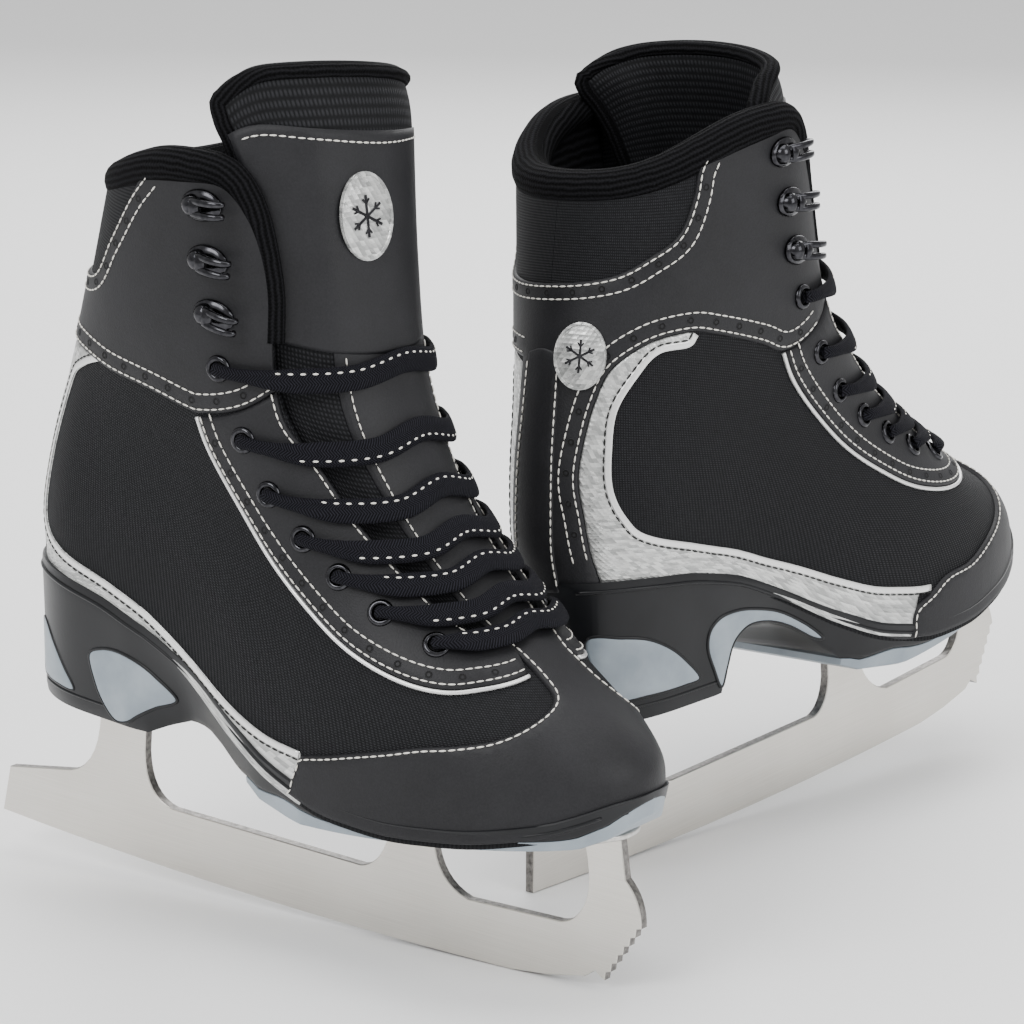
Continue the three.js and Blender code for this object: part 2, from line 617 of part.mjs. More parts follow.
// ---------------------------------------------------------------- assembly
function makeSkate({ side, mirror, x, y, yaw, pitch, roll }) {
  const skate = new THREE.Group();
  const add = (name, geometry, look, group = skate) => {
    const mesh = new THREE.Mesh(geometry, LOOKS[look]);
    mesh.name = `${side}_${name}`;
    group.add(mesh);
    return mesh;
  };
  add('upper_shell', upperShell(), 'nylon');
  add('toe_cap', sewnPiece(TOE_CAP, 0), 'leather');
  for (const [face, sign] of [['inner', 1], ['outer', -1]]) {
    add(`eyestay_${face}`, sewnPiece(EYESTAY, sign), 'leather');
    add(`ankle_panel_${face}`, sewnPiece(ANKLE_PANEL, sign), 'leather');
    HOOKS.forEach(([hx, hz], i) => {
      const [level, way] = findOnSkin(hx, hz);
      const mesh = add(`hook_${face}_${i + 1}`, hook(), 'hardware');
      const out = skinNormal(level, way, sign);
      const forward = skinAt(level, way + 0.02, sign, 0).sub(skinAt(level, way, sign, 0));
      forward.addScaledVector(out, -forward.dot(out)).normalize();
      const basis = new THREE.Matrix4().makeBasis(forward, out, forward.clone().cross(out));
      mesh.quaternion.setFromRotationMatrix(basis);
      mesh.position.copy(skinAt(level, way, sign, 2 * GAP + PANEL_THICKNESS + 0.1));
    });
  }
  add('collar_padding', collarPadding(), 'plush');
  add('tongue_base', tongue('base'), 'leather');
  add('tongue_top', tongue('top'), 'leather');
  add('insole', insole(), 'plush');
  add('lace', tube(laceRoute(), LACE_RADIUS), 'lace');
  add('outsole', outsole(), 'sole');
  add('sole_layer', soleLayer(), 'inlay');
  add('heel_core', heelCore(), 'inlay');
  add('blade', sideExtrude(bladeShape(), -BLADE_THICKNESS / 2, BLADE_THICKNESS / 2, 4), 'steel');
  add('heel_plate', heelPlate(), 'steel');
  add('sole_plate', solePlate(), 'steel');
  HEEL_SCREWS.forEach(([sx, sy], i) => {
    const mesh = add(`heel_screw_${i + 1}`, screwHead(), 'steel');
    mesh.position.set(sx, sy, HEEL_PLATE_TOP - PLATE_THICKNESS - GAP);
  });
  const bedTilt = Math.atan2(PLATE_BED[1][1] - PLATE_BED[0][1], PLATE_BED[1][0] - PLATE_BED[0][0]);
  SOLE_SCREWS.forEach(([sx, sy], i) => {
    const mesh = add(`sole_screw_${i + 1}`, screwHead(), 'steel');
    mesh.position.set(sx, sy, bedHeight(sx) - PLATE_THICKNESS - 2 * GAP);
    mesh.rotation.y = -bedTilt;
  });

  // Stand the skate on its edge: roll and pitch about the low point of the rocker, then turn it.
  const lean = new THREE.Group();
  lean.position.set(ROCKER_LOW_X, 0, ROCKER_RADIUS * (1 - Math.cos(THREE.MathUtils.degToRad(pitch))));
  lean.rotation.set(THREE.MathUtils.degToRad(roll), THREE.MathUtils.degToRad(pitch), 0, 'YXZ');
  const handed = new THREE.Group();
  handed.scale.y = mirror;
  skate.position.x = -ROCKER_LOW_X;
  handed.add(skate);
  lean.add(handed);
  const stand = new THREE.Group();
  stand.add(lean);
  stand.position.set(x, y, 0);
  stand.rotation.z = THREE.MathUtils.degToRad(yaw);
  return stand;
}

// Each skate rests on the ice, and the origin is under the middle of the pair.
const pair = new THREE.Group();
for (const skate of SKATES) {
  const placed = makeSkate(skate);
  placed.position.z -= new THREE.Box3().setFromObject(placed, true).min.z;
  pair.add(placed);
}
const middle = new THREE.Box3().setFromObject(pair, true).getCenter(new THREE.Vector3());
pair.position.set(-middle.x, -middle.y, 0);
export default pair;
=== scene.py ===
import math
import bpy
import numpy as np
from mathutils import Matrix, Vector
from mathutils.geometry import delaunay_2d_cdt


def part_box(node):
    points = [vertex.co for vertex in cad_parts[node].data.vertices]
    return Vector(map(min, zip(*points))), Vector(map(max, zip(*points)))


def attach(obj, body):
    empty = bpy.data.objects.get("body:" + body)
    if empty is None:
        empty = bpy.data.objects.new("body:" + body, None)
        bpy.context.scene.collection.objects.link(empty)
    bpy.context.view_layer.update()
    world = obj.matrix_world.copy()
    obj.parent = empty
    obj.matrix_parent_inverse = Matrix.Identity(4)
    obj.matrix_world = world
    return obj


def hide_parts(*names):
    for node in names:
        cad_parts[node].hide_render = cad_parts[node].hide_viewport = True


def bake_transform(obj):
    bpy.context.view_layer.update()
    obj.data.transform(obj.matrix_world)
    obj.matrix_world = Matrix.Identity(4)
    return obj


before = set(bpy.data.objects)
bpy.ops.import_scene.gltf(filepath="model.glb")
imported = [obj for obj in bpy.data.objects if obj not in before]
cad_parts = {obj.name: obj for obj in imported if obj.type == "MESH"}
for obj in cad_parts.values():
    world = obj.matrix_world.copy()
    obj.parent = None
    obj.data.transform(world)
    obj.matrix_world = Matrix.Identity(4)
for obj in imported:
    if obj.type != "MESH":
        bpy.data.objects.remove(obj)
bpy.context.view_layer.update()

# A pair of figure skates. Each skate is made once in its own frame, in millimetres: X from heel to toe,
# Y to the inner side, Z up, x = 0 at the blade's tail and z = 0 on the ice. emit() then places the shape
# on both skates; the left one is the mirror image of the right.

# ---------------------------------------------------------------- where the two skates stand
ROCKER_RADIUS = 2070.0
ROCKER_LOW_X = 150.0
STANDS = {
    "left": {"mirror": -1, "x": -186.6, "y": 50.2, "yaw": -33.74, "pitch": 2.8, "roll": -2.0},
    "right": {"mirror": 1, "x": 6.5, "y": 0.0, "yaw": 46.94, "pitch": -4.0, "roll": -4.0},
}


def turn(axis, degrees):
    """Rotation matrix about X, Y or Z."""
    c, s = math.cos(math.radians(degrees)), math.sin(math.radians(degrees))
    return {
        "X": np.array([[1, 0, 0], [0, c, -s], [0, s, c]]),
        "Y": np.array([[c, 0, s], [0, 1, 0], [-s, 0, c]]),
        "Z": np.array([[c, -s, 0], [s, c, 0], [0, 0, 1]]),
    }[axis]


def placing(side):
    """Matrix and offset that take a skate's own millimetres to the row frame's, before the last shift."""
    stand = STANDS[side]
    lean = turn("Y", stand["pitch"]) @ turn("X", stand["roll"])
    matrix = turn("Z", stand["yaw"]) @ lean @ np.diag([1, stand["mirror"], 1])
    height = ROCKER_RADIUS * (1 - math.cos(math.radians(stand["pitch"])))
    pivot = turn("Z", stand["yaw"]) @ np.array([ROCKER_LOW_X, 0, height])
    offset = np.array([stand["x"], stand["y"], 0]) + pivot - matrix @ np.array([ROCKER_LOW_X, 0, 0])
    return matrix, offset


# ---------------------------------------------------------------- curves
def spline(values, at):
    """Smooth curve through evenly spaced values, at 0..1. values may hold one column for each place."""
    v = np.asarray(values, float)
    last = len(v) - 1
    place = np.clip(at, 0, 1) * last
    i = np.minimum(place.astype(int), last - 1)
    f = place - i
    v = np.concatenate([[2 * v[0] - v[1]], v, [2 * v[-1] - v[-2]]])
    pick = (lambda k: v[i + k]) if v.ndim == 1 else (lambda k: v[i + k, np.arange(len(f))])
    a, b, c, d = (pick(k) for k in range(4))
    return 0.5 * (2 * b + (c - a) * f + (2 * a - 5 * b + 4 * c - d) * f**2 + (3 * b - a - 3 * c + d) * f**3)


def along(points, x):
    xs, vs = np.array(points, float).T
    return np.interp(x, xs, vs)


def eased(points, x, span=6.0):
    return (along(points, x - span) + 2 * along(points, x) + along(points, x + span)) / 4


def smooth(x, low, high):
    t = np.clip((x - low) / (high - low), 0, 1)
    return t * t * (3 - 2 * t)


def through(points, count):
    """Smooth open curve through points of any dimension, as count samples spaced by chord length."""
    p = np.asarray(points, float)
    if len(p) == 2:
        return p[0] + (p[1] - p[0]) * np.linspace(0, 1, count)[:, None]
    dense = np.linspace(0, 1, 24 * len(p))
    curve = np.stack([spline(p[:, k], dense) for k in range(p.shape[1])], 1)
    run = np.concatenate([[0], np.cumsum(np.linalg.norm(np.diff(curve, axis=0), axis=1))])
    even = np.linspace(0, run[-1], count)
    return np.stack([np.interp(even, run, curve[:, k]) for k in range(p.shape[1])], 1)


def unit(v):
    return v / np.maximum(np.linalg.norm(v, axis=-1, keepdims=True), 1e-9)


# ---------------------------------------------------------------- the boot's outer surface
BACK_X = [22, 20.5, 22, 25.5, 31, 36.5, 42, 47.5, 53]
BACK_Z = [115, 128, 142, 160, 180, 200, 220, 241, 262]
FRONT_X = [277, 274, 263, 243, 215, 188, 168.5, 160, 156]
FRONT_Z = [75, 87.5, 100, 113, 131, 156, 191, 230, 271]
HALF_WIDTHS = [
    [0, 15.5, 28, 33, 37.5, 46, 50.5, 46, 34.5, 17.5, 0],
    [0, 16, 29, 34.5, 38.5, 44.5, 48, 44.5, 34, 18, 0],
    [0, 15, 28, 35, 38.5, 40.5, 41, 37.5, 29, 15.5, 0],
    [0, 15, 28.5, 38, 43, 45, 44.5, 39, 29, 15, 0],
    [0, 16, 30, 40.5, 46.5, 48.5, 47.5, 42.5, 32.5, 17.5, 0],
]
SOLE_JOINT = [[20, 115], [42, 113.5], [66, 110], [88, 103.5], [110, 91], [130, 77.5], [150, 66.5],
              [175, 59.5], [205, 58.5], [235, 61.5], [260, 67], [279, 76]]
TOE_SWING = 5.0
SHELL = 3.4
RUN_ON = 60.0           # millimetres that one whole level is worth, below the sole joint and above the collar


def sole_joint(x):
    return eased(SOLE_JOINT, x)


def skin(level, way, side):
    """Outer surface: level 0 at the sole joint to 1 at the collar, way 0 at the heel to 1 at the toe."""
    inside = np.clip(level, 0, 1)
    back_x, back_z = spline(BACK_X, inside), spline(BACK_Z, inside)
    front_x, front_z = spline(FRONT_X, inside), spline(FRONT_Z, inside)
    across = (1 - np.cos(np.pi * way)) / 2
    x = back_x + (front_x - back_x) * across
    chord = back_z + (front_z - back_z) * across
    settle = np.maximum(1 - inside / 0.75, 0) ** 1.6
    base = BACK_Z[0] + (FRONT_Z[0] - BACK_Z[0]) * (x - BACK_X[0]) / (FRONT_X[0] - BACK_X[0])
    z = chord + (sole_joint(x) - base) * settle + (level - inside) * RUN_ON
    half = spline([spline(row, way) for row in HALF_WIDTHS], inside)
    swing = TOE_SWING * smooth(x, 150, 277) * np.maximum(1 - inside, 0)
    return np.stack([x, side * half + swing, z], -1)


def skin_frame(level, way, side):
    """Surface point, its outward normal, and its slopes by way and by level."""
    step = 0.004
    level, way, side = np.broadcast_arrays(*(np.asarray(v, float) for v in (level, way, side)))
    level, way, side = level.ravel(), np.clip(way.ravel(), 0.0005, 0.9995), side.ravel()
    low, high = np.maximum(way - step, 0.0003), np.minimum(way + step, 0.9997)
    down, up = np.clip(level - step, 0, 1 - step), np.clip(level + step, step, 1)
    by_way = (skin(level, high, side) - skin(level, low, side)) / (high - low)[:, None]
    by_level = (skin(up, way, side) - skin(down, way, side)) / (up - down)[:, None]
    normal = unit(np.cross(by_way, by_level)) * np.where(side > 0, -1, 1)[:, None]
    return skin(level, way, side), normal, by_way, by_level


def surface(level, way, side, lift=0.0):
    point, normal, _, _ = skin_frame(level, way, side)
    return point + normal * np.reshape(lift, (-1, 1))


# A chart unrolls the boot: (s, level), where s is counted from the heel or from the toe round to a side.
# Its inner side is positive.
WIDE, TALL = 235.0, 170.0       # millimetres that one s and one level are worth on the flat chart


def chart_frame(centre, flat):
    """Point, normal and chart slopes at flat chart places, which are in millimetres."""
    s, level = flat[:, 0] / WIDE, flat[:, 1] / TALL
    side = np.where(s >= 0, 1.0, -1.0)
    way = np.abs(s) if centre == "heel" else 1 - np.abs(s)
    point, normal, by_way, by_level = skin_frame(level, way, side)
    by_s = by_way * (side if centre == "heel" else -side)[:, None]
    return point, normal, by_s / WIDE, by_level / TALL


def flat_curve(points, step=1.1):
    """Smooth curve through (s, level) points, sampled about every step on the flat chart."""
    flat = np.asarray(points, float) * [WIDE, TALL]
    length = np.linalg.norm(np.diff(flat, axis=0), axis=1).sum()
    return through(flat, max(3, int(length / step) + 1))


def shifted(centre, flat, distance):
    """A flat chart curve moved sideways over the boot, to the left of its heading if positive."""
    point, normal, by_s, by_level = chart_frame(centre, flat)
    heading = unit(np.gradient(point, axis=0))
    aside = unit(np.cross(normal, heading)) * distance
    a, b, c = (by_s**2).sum(1), (by_s * by_level).sum(1), (by_level**2).sum(1)
    p, q = (aside * by_s).sum(1), (aside * by_level).sum(1)
    det = np.maximum(a * c - b * b, 1e-6)
    return flat + np.stack([(p * c - q * b) / det, (a * q - b * p) / det], 1)


# Front edge of a side panel, as way by level, from the toe end of the throat up to the collar.
THROAT = [[0.45, 0.90], [0.47, 0.87], [0.50, 0.83], [0.55, 0.80], [0.60, 0.77], [0.66, 0.735],
          [0.70, 0.705], [0.74, 0.695], [0.80, 0.705], [0.86, 0.72], [0.93, 0.70], [0.97, 0.67], [1.0, 0.61]]


def throat_way(level):
    return eased(THROAT, level, 0.02)


def collar_level(way):
    return 0.945 + 0.055 * smooth(way, 0.12, 0.5)


# ---------------------------------------------------------------- shapes
class Shape:
    """Vertices in the skate's millimetres, faces, and a flat place in millimetres for each vertex's weave."""

    def __init__(self, verts, faces, weave=None):
        self.verts = np.asarray(verts, float).reshape(-1, 3)
        self.faces = faces
        self.weave = self.verts[:, [0, 2]] if weave is None else np.asarray(weave, float)

    def moved(self, origin, axes):
        """The shape with its own x, y, z laid along three axes at an origin."""
        return Shape(np.asarray(origin) + self.verts @ np.asarray(axes), self.faces, self.weave)


def joined(shapes):
    verts, faces, weave, start = [], [], [], 0
    for shape in shapes:
        verts.append(shape.verts)
        weave.append(shape.weave)
        faces.extend([tuple(i + start for i in face) for face in shape.faces])
        start += len(shape.verts)
    return Shape(np.concatenate(verts), faces, np.concatenate(weave))


def grid_faces(rows, columns, closed=False):
    faces = []
    for j in range(rows - 1):
        for i in range(columns if closed else columns - 1):
            a, b = j * columns + i, j * columns + (i + 1) % columns
            faces.append((a, b, b + columns, a + columns))
    return faces


def rings(stack, caps=True):
    """Closed rings of points, one after another, closed at both ends with a fan."""
    stack = np.asarray(stack, float)
    count, ring = stack.shape[:2]
    verts = stack.reshape(-1, 3)
    faces = grid_faces(count, ring, closed=True)
    around = np.linalg.norm(np.roll(stack, -1, 1) - stack, axis=2).cumsum(1)
    run = np.linalg.norm(np.diff(stack.mean(1), axis=0, prepend=stack[:1].mean(1)), axis=1).cumsum()
    weave = np.stack([np.repeat(run, ring), around.ravel()], 1)
    if caps:
        ends = np.stack([stack[0].mean(0), stack[-1].mean(0)])
        verts = np.concatenate([verts, ends])
        weave = np.concatenate([weave, weave[[0, -1]]])
        first, last = count * ring, (count - 1) * ring
        for i in range(ring):
            j = (i + 1) % ring
            faces.append((j, i, first))
            faces.append((last + i, last + j, first + 1))
    return outward(Shape(verts, faces, weave))


def outward(shape):
    """Turns the faces of a closed shape outward."""
    v = shape.verts
    volume = 0.0
    for face in shape.faces:
        for k in range(1, len(face) - 1):
            volume += np.dot(v[face[0]], np.cross(v[face[k]], v[face[k + 1]]))
    if volume < 0:
        shape.faces = [face[::-1] for face in shape.faces]
    return shape


def sweep(path, up, section, scale=None):
    """A closed section, as (across, up) pairs, carried along a path with an up direction at each point."""
    path, section = np.asarray(path, float), np.asarray(section, float)
    heading = unit(np.gradient(path, axis=0))
    up = np.broadcast_to(np.asarray(up, float), path.shape)
    up = unit(up - heading * (up * heading).sum(1, keepdims=True))
    across = np.cross(heading, up)
    size = np.ones((len(path), 2)) if scale is None else np.asarray(scale, float).reshape(len(path), -1)
    size = np.broadcast_to(size, (len(path), 2))
    ring = (path[:, None] + across[:, None] * (section[None, :, 0] * size[:, :1])[..., None]
            + up[:, None] * (section[None, :, 1] * size[:, 1:])[..., None])
    return rings(ring)


def ellipse(a, b, count=12, power=2.0):
    """Section of a rounded bar: power 2 is an ellipse, and a higher power is squarer."""
    angle = np.linspace(0, 2 * np.pi, count, endpoint=False)
    c, s = np.cos(angle), np.sin(angle)
    squash = (np.abs(c) ** power + np.abs(s) ** power) ** (-1 / power)
    return np.stack([a * c * squash, b * s * squash], 1)


def lathe(profile, count=28, stretch=(1.0, 1.0)):
    """Profile of (radius, height) turned about z. A profile that ends where it starts makes an open ring."""
    angle = np.linspace(0, 2 * np.pi, count, endpoint=False)
    wide, deep = stretch
    stack = [[[r * wide * math.cos(a), r * deep * math.sin(a), z] for a in angle] for r, z in profile]
    return rings(stack, caps=tuple(profile[0]) != tuple(profile[-1]))


def bead(rx, ry, rz, around=8, tall=5):
    """Small ellipsoid."""
    tilt = np.linspace(-np.pi / 2 + 0.25, np.pi / 2 - 0.25, tall)
    angle = np.linspace(0, 2 * np.pi, around, endpoint=False)
    stack = [[[math.sin(t) * rx, math.cos(t) * ry * math.cos(a), math.cos(t) * rz * math.sin(a)]
              for a in angle] for t in tilt]
    return rings(stack)


def scattered(unit_shape, origins, axes):
    """Copies of a small shape, each at an origin with its own three axes."""
    count, size = len(origins), len(unit_shape.verts)
    verts = origins[:, None] + np.einsum("vk,nkj->nvj", unit_shape.verts, axes)
    faces = []
    for n in range(count):
        faces.extend([tuple(i + n * size for i in face) for face in unit_shape.faces])
    weave = np.tile(unit_shape.weave, (count, 1))
    return Shape(verts.reshape(-1, 3), faces, weave)


# ---------------------------------------------------------------- panels sewn on the boot
def inside_outline(places, edge):
    x, y = places[:, 0], places[:, 1]
    inside = np.zeros(len(places), bool)
    x0, y0 = edge[:, 0], edge[:, 1]
    x1, y1 = np.roll(x0, -1), np.roll(y0, -1)
    for a, b, c, d in zip(x0, y0, x1, y1):
        if b != d:
            inside ^= ((b > y) != (d > y)) & (x < (c - a) * (y - b) / (d - b) + a)
    return inside


def edge_distance(places, edge):
    best = np.full(len(places), 1e9)
    for a, b in zip(edge, np.roll(edge, -1, 0)):
        ab = b - a
        t = np.clip(((places - a) @ ab) / max(ab @ ab, 1e-9), 0, 1)
        best = np.minimum(best, np.linalg.norm(places - a - t[:, None] * ab, axis=1))
    return best


OUTLINE_STEP = 1.1


def outline(segments):
    return np.concatenate([flat_curve(segment, OUTLINE_STEP)[:-1] for segment in segments])


def flat_mesh(edge, fine, margin):
    """Triangles that fill a flat outline, with rows close to the edge so that it can be rounded."""
    heading = unit(np.roll(edge, -1, 0) - np.roll(edge, 1, 0))
    inner = np.stack([-heading[:, 1], heading[:, 0]], 1)
    x, y = edge[:, 0], edge[:, 1]
    if (x * np.roll(y, -1) - np.roll(x, -1) * y).sum() < 0:
        inner = -inner
    places = [edge]
    for depth in margin:
        row = edge + inner * depth
        keep = inside_outline(row, edge) & (edge_distance(row, edge) > depth * 0.8)
        places.append(row[keep])
    low, high = edge.min(0), edge.max(0)
    gx, gy = np.meshgrid(np.arange(low[0], high[0], fine), np.arange(low[1], high[1], fine))
    gx[::2] += fine / 2
    cloud = np.stack([gx.ravel(), gy.ravel()], 1)
    cloud = cloud[inside_outline(cloud, edge)]
    cloud = cloud[edge_distance(cloud, edge) > margin[-1] + fine * 0.6]
    places.append(cloud)
    flat = np.concatenate(places)
    made = delaunay_2d_cdt([Vector(p) for p in flat], [], [list(range(len(edge)))], 1, 1e-5)
    return np.array([list(v) for v in made[0]]), [tuple(f) for f in made[2]]


PANEL_ROLL = 1.0    # width of a panel's rounded edge


def panel(centre, segments, thickness=1.2, lift=0.0, fine=2.4):
    """Leather or film cut to an outline and laid over the boot, with a rounded edge."""
    edge = outline(segments)
    flat, faces = flat_mesh(edge, fine, [0.3 * PANEL_ROLL, PANEL_ROLL])
    depth = np.clip(edge_distance(flat, edge) / PANEL_ROLL, 0, 1)
    height = lift - 0.25 + (thickness + 0.25) * np.sqrt(1 - (1 - depth) ** 2)
    point, normal, _, _ = chart_frame(centre, flat)
    verts = point + normal * height[:, None]
    a, b, c = (verts[list(i)] for i in zip(*faces))
    facing = (np.cross(b - a, c - a) * normal[[f[0] for f in faces]]).sum()
    if facing < 0:
        faces = [face[::-1] for face in faces]
    return Shape(verts, faces, flat)


def run_lengths(points):
    return np.concatenate([[0], np.cumsum(np.linalg.norm(np.diff(points, axis=0), axis=1))])


def stations(centre, curve, offset, lift, pitch, margin=0.0):
    """Places a pitch apart along a chart curve moved sideways, with heading, aside and out directions."""
    flat = shifted(centre, flat_curve(curve, 1.5), offset) if offset else flat_curve(curve, 1.5)
    point, normal, _, _ = chart_frame(centre, flat)
    point = point + normal * lift
    run = run_lengths(point)
    count = max(2, int((run[-1] - 2 * margin) / pitch))
    at = np.linspace(margin + pitch / 2, run[-1] - margin - pitch / 2, count)
    place = np.stack([np.interp(at, run, point[:, k]) for k in range(3)], 1)
    out = unit(np.stack([np.interp(at, run, normal[:, k]) for k in range(3)], 1))
    heading = np.gradient(point, axis=0)
    heading = unit(np.stack([np.interp(at, run, heading[:, k]) for k in range(3)], 1))
    heading = unit(heading - out * (heading * out).sum(1, keepdims=True))
    return place, np.stack([heading, np.cross(out, heading), out], 1)


STITCH_PITCH = 3.15
STITCH = bead(1.36, 0.32, 0.3)


def stitches(centre, curve, offset, lift=1.35):
    place, axes = stations(centre, curve, offset, lift, STITCH_PITCH)
    return scattered(STITCH, place, axes)


def punched(radius, rim):
    """A punched hole: a dish that carries painted shade for the hole's depth, and the raised lip round it, as
    two shapes.
    """
    dish = lathe([(radius, -0.25), (radius, 0.06), (radius * 0.9, 0.1), (0.02, -0.15)], 14)
    wall = (radius, -0.2)
    lip = lathe([wall, (radius + rim, -0.2), (radius + rim * 0.7, 0.14), (radius + 0.05, 0.2), wall], 14)
    return dish, lip


HOLE_SHADE_DISH, HOLE_LIP = punched(1.12, 0.3)


# ---------------------------------------------------------------- materials
class Look:
    """Short-hand for a node material: a Principled shader, a bump chain and math nodes."""

    def __init__(self, name, color, roughness, metallic=0.0, **sockets):
        self.material = bpy.data.materials.new(name)
        self.material.use_nodes = True
        self.tree = self.material.node_tree
        self.shader = self.tree.nodes["Principled BSDF"]
        self.set(**{"Base Color": (*color, 1), "Roughness": roughness, "Metallic": metallic})
        self.set(**{key.replace("_", " "): value for key, value in sockets.items()})

    def set(self, **values):
        for key, value in values.items():
            self.shader.inputs[key].default_value = value

    def node(self, kind, **inputs):
        made = self.tree.nodes.new(kind)
        for key, value in inputs.items():
            self.feed(made.inputs[key.replace("_", " ")], value)
        return made

    def feed(self, socket, value):
        if isinstance(value, bpy.types.NodeSocket):
            self.tree.links.new(value, socket)
        else:
            socket.default_value = value

    def math(self, operation, a, b=0.5):
        made = self.tree.nodes.new("ShaderNodeMath")
        made.operation = operation
        self.feed(made.inputs[0], a)
        self.feed(made.inputs[1], b)
        return made.outputs[0]

    def weave(self):
        """The flat place in millimetres that the mesh carries, as separate across and up numbers."""
        read = self.tree.nodes.new("ShaderNodeAttribute")
        read.attribute_name = "weave_mm"
        split = self.node("ShaderNodeSeparateXYZ", Vector=read.outputs["Vector"])
        return read.outputs["Vector"], split.outputs[0], split.outputs[1]

    def place(self):
        """Object coordinates in millimetres."""
        read = self.tree.nodes.new("ShaderNodeTexCoord")
        scaled = self.tree.nodes.new("ShaderNodeVectorMath")
        scaled.operation = "SCALE"
        self.tree.links.new(read.outputs["Object"], scaled.inputs[0])
        scaled.inputs["Scale"].default_value = 1000
        return scaled.outputs[0]

    def noise(self, vector, scale, detail=3.0, roughness=0.5):
        made = self.node("ShaderNodeTexNoise", Vector=vector, Scale=scale, Detail=detail, Roughness=roughness)
        return made.outputs["Fac"]

    def ramp(self, value, low, high, at=(0.3, 0.7)):
        """Colours between two, as the value runs over a range."""
        made = self.tree.nodes.new("ShaderNodeValToRGB")
        self.tree.links.new(value, made.inputs[0])
        made.color_ramp.elements[0].position, made.color_ramp.elements[1].position = at
        made.color_ramp.elements[0].color = (*low, 1)
        made.color_ramp.elements[1].color = (*high, 1)
        return made.outputs[0]

    def span(self, value, low, high):
        made = self.tree.nodes.new("ShaderNodeMapRange")
        self.tree.links.new(value, made.inputs["Value"])
        made.inputs["To Min"].default_value, made.inputs["To Max"].default_value = low, high
        return made.outputs[0]

    def color(self, socket):
        self.tree.links.new(socket, self.shader.inputs["Base Color"])

    def rough(self, value, low, high):
        self.tree.links.new(self.span(value, low, high), self.shader.inputs["Roughness"])

    def bump(self, height, depth_mm, strength=1.0):
        """Adds relief of a height in millimetres over any relief already there."""
        made = self.node("ShaderNodeBump", Height=height, Distance=depth_mm / 1000, Strength=strength)
        before = self.shader.inputs["Normal"]
        if before.is_linked:
            self.tree.links.new(before.links[0].from_socket, made.inputs["Normal"])
        self.tree.links.new(made.outputs[0], before)


def ribs(look, value, pitch):
    """A sine of a millimetre coordinate, from 0 to 1."""
    wave = look.math("SINE", look.math("MULTIPLY", value, 2 * math.pi / pitch), 0.0)
    return look.math("ADD", look.math("MULTIPLY", wave, 0.5), 0.5)


def nylon_look():
    """Ballistic nylon: a fine basket weave of slightly shiny yarns."""
    look = Look("ballistic_nylon", (0.005, 0.0052, 0.006), 0.62, Specular_IOR_Level=0.16)
    _, u, v = look.weave()
    over, under = ribs(look, u, 1.05), ribs(look, v, 0.95)
    yarn = look.math("MULTIPLY", over, under)
    speck = look.noise(look.place(), 0.55, 4.0)
    mixed = look.math("MULTIPLY", look.math("ADD", yarn, 0.25), look.math("ADD", speck, 0.5))
    look.color(look.ramp(mixed, (0.0012, 0.0013, 0.0017), (0.0165, 0.017, 0.0195), (0.12, 0.95)))
    look.rough(yarn, 0.72, 0.48)
    look.bump(yarn, 0.22, 0.8)
    return look.material


def leather_look(name="smooth_leather", low=(0.0085, 0.0085, 0.0098), high=(0.0165, 0.0165, 0.0188)):
    """Coated leather: a fine pebble grain, faint creases and a soft satin shine."""
    look = Look(name, high, 0.5, Specular_IOR_Level=0.26)
    place = look.place()
    grain = look.node("ShaderNodeTexVoronoi", Vector=place, Scale=1.6).outputs["Distance"]
    cloud = look.noise(place, 0.035, 5.0, 0.6)
    fine = look.noise(place, 1.3, 2.0)
    look.color(look.ramp(look.math("ADD", look.math("MULTIPLY", cloud, 0.6),
                                   look.math("MULTIPLY", fine, 0.4)),
                         low, high, (0.35, 0.68)))
    look.rough(cloud, 0.42, 0.6)
    look.bump(look.noise(place, 0.09, 2.0), 0.5, 0.35)
    look.bump(grain, 0.09, 0.5)
    return look.material


def plush_look():
    """Black knitted lining with round ribs and a soft nap."""
    look = Look("knit_lining", (0.004, 0.004, 0.005), 0.92, Specular_IOR_Level=0.08)
    _, u, v = look.weave()
    wobble = look.math("MULTIPLY", look.noise(look.place(), 0.25, 2.0), 1.2)
    rib = ribs(look, look.math("ADD", v, wobble), 2.1)
    loop = ribs(look, look.math("ADD", u, look.math("MULTIPLY", rib, 0.6)), 1.3)
    nap = look.noise(look.place(), 2.2, 3.0, 0.7)
    height = look.math("ADD", look.math("MULTIPLY", rib, 0.75), look.math("MULTIPLY", loop, 0.25))
    look.color(look.ramp(look.math("MULTIPLY", height, look.math("ADD", nap, 0.4)),
                         (0.0012, 0.0012, 0.0014), (0.0095, 0.0095, 0.011), (0.15, 0.85)))
    look.bump(height, 0.7, 0.8)
    look.bump(nap, 0.25, 0.6)
    return look.material


def lace_look():
    """Flat woven lace: a herringbone of fine yarns."""
    look = Look("woven_lace", (0.003, 0.003, 0.004), 0.85, Specular_IOR_Level=0.1)
    _, u, v = look.weave()
    slant = look.math("ADD", u, look.math("MULTIPLY", look.math("PINGPONG", v, 1.9), 0.9))
    yarn = ribs(look, slant, 1.0)
    look.color(look.ramp(look.math("MULTIPLY", yarn, look.math("ADD", look.noise(look.place(), 1.5), 0.3)),
                         (0.0016, 0.0016, 0.0024), (0.017, 0.017, 0.023), (0.1, 0.85)))
    look.bump(yarn, 0.3, 0.9)
    return look.material


def thread_look():
    look = Look("waxed_thread", (0.74, 0.72, 0.66), 0.6)
    twist = look.noise(look.place(), 1.8, 2.0)
    look.color(look.ramp(twist, (0.6, 0.58, 0.52), (0.82, 0.8, 0.75)))
    look.bump(twist, 0.12, 0.7)
    return look.material


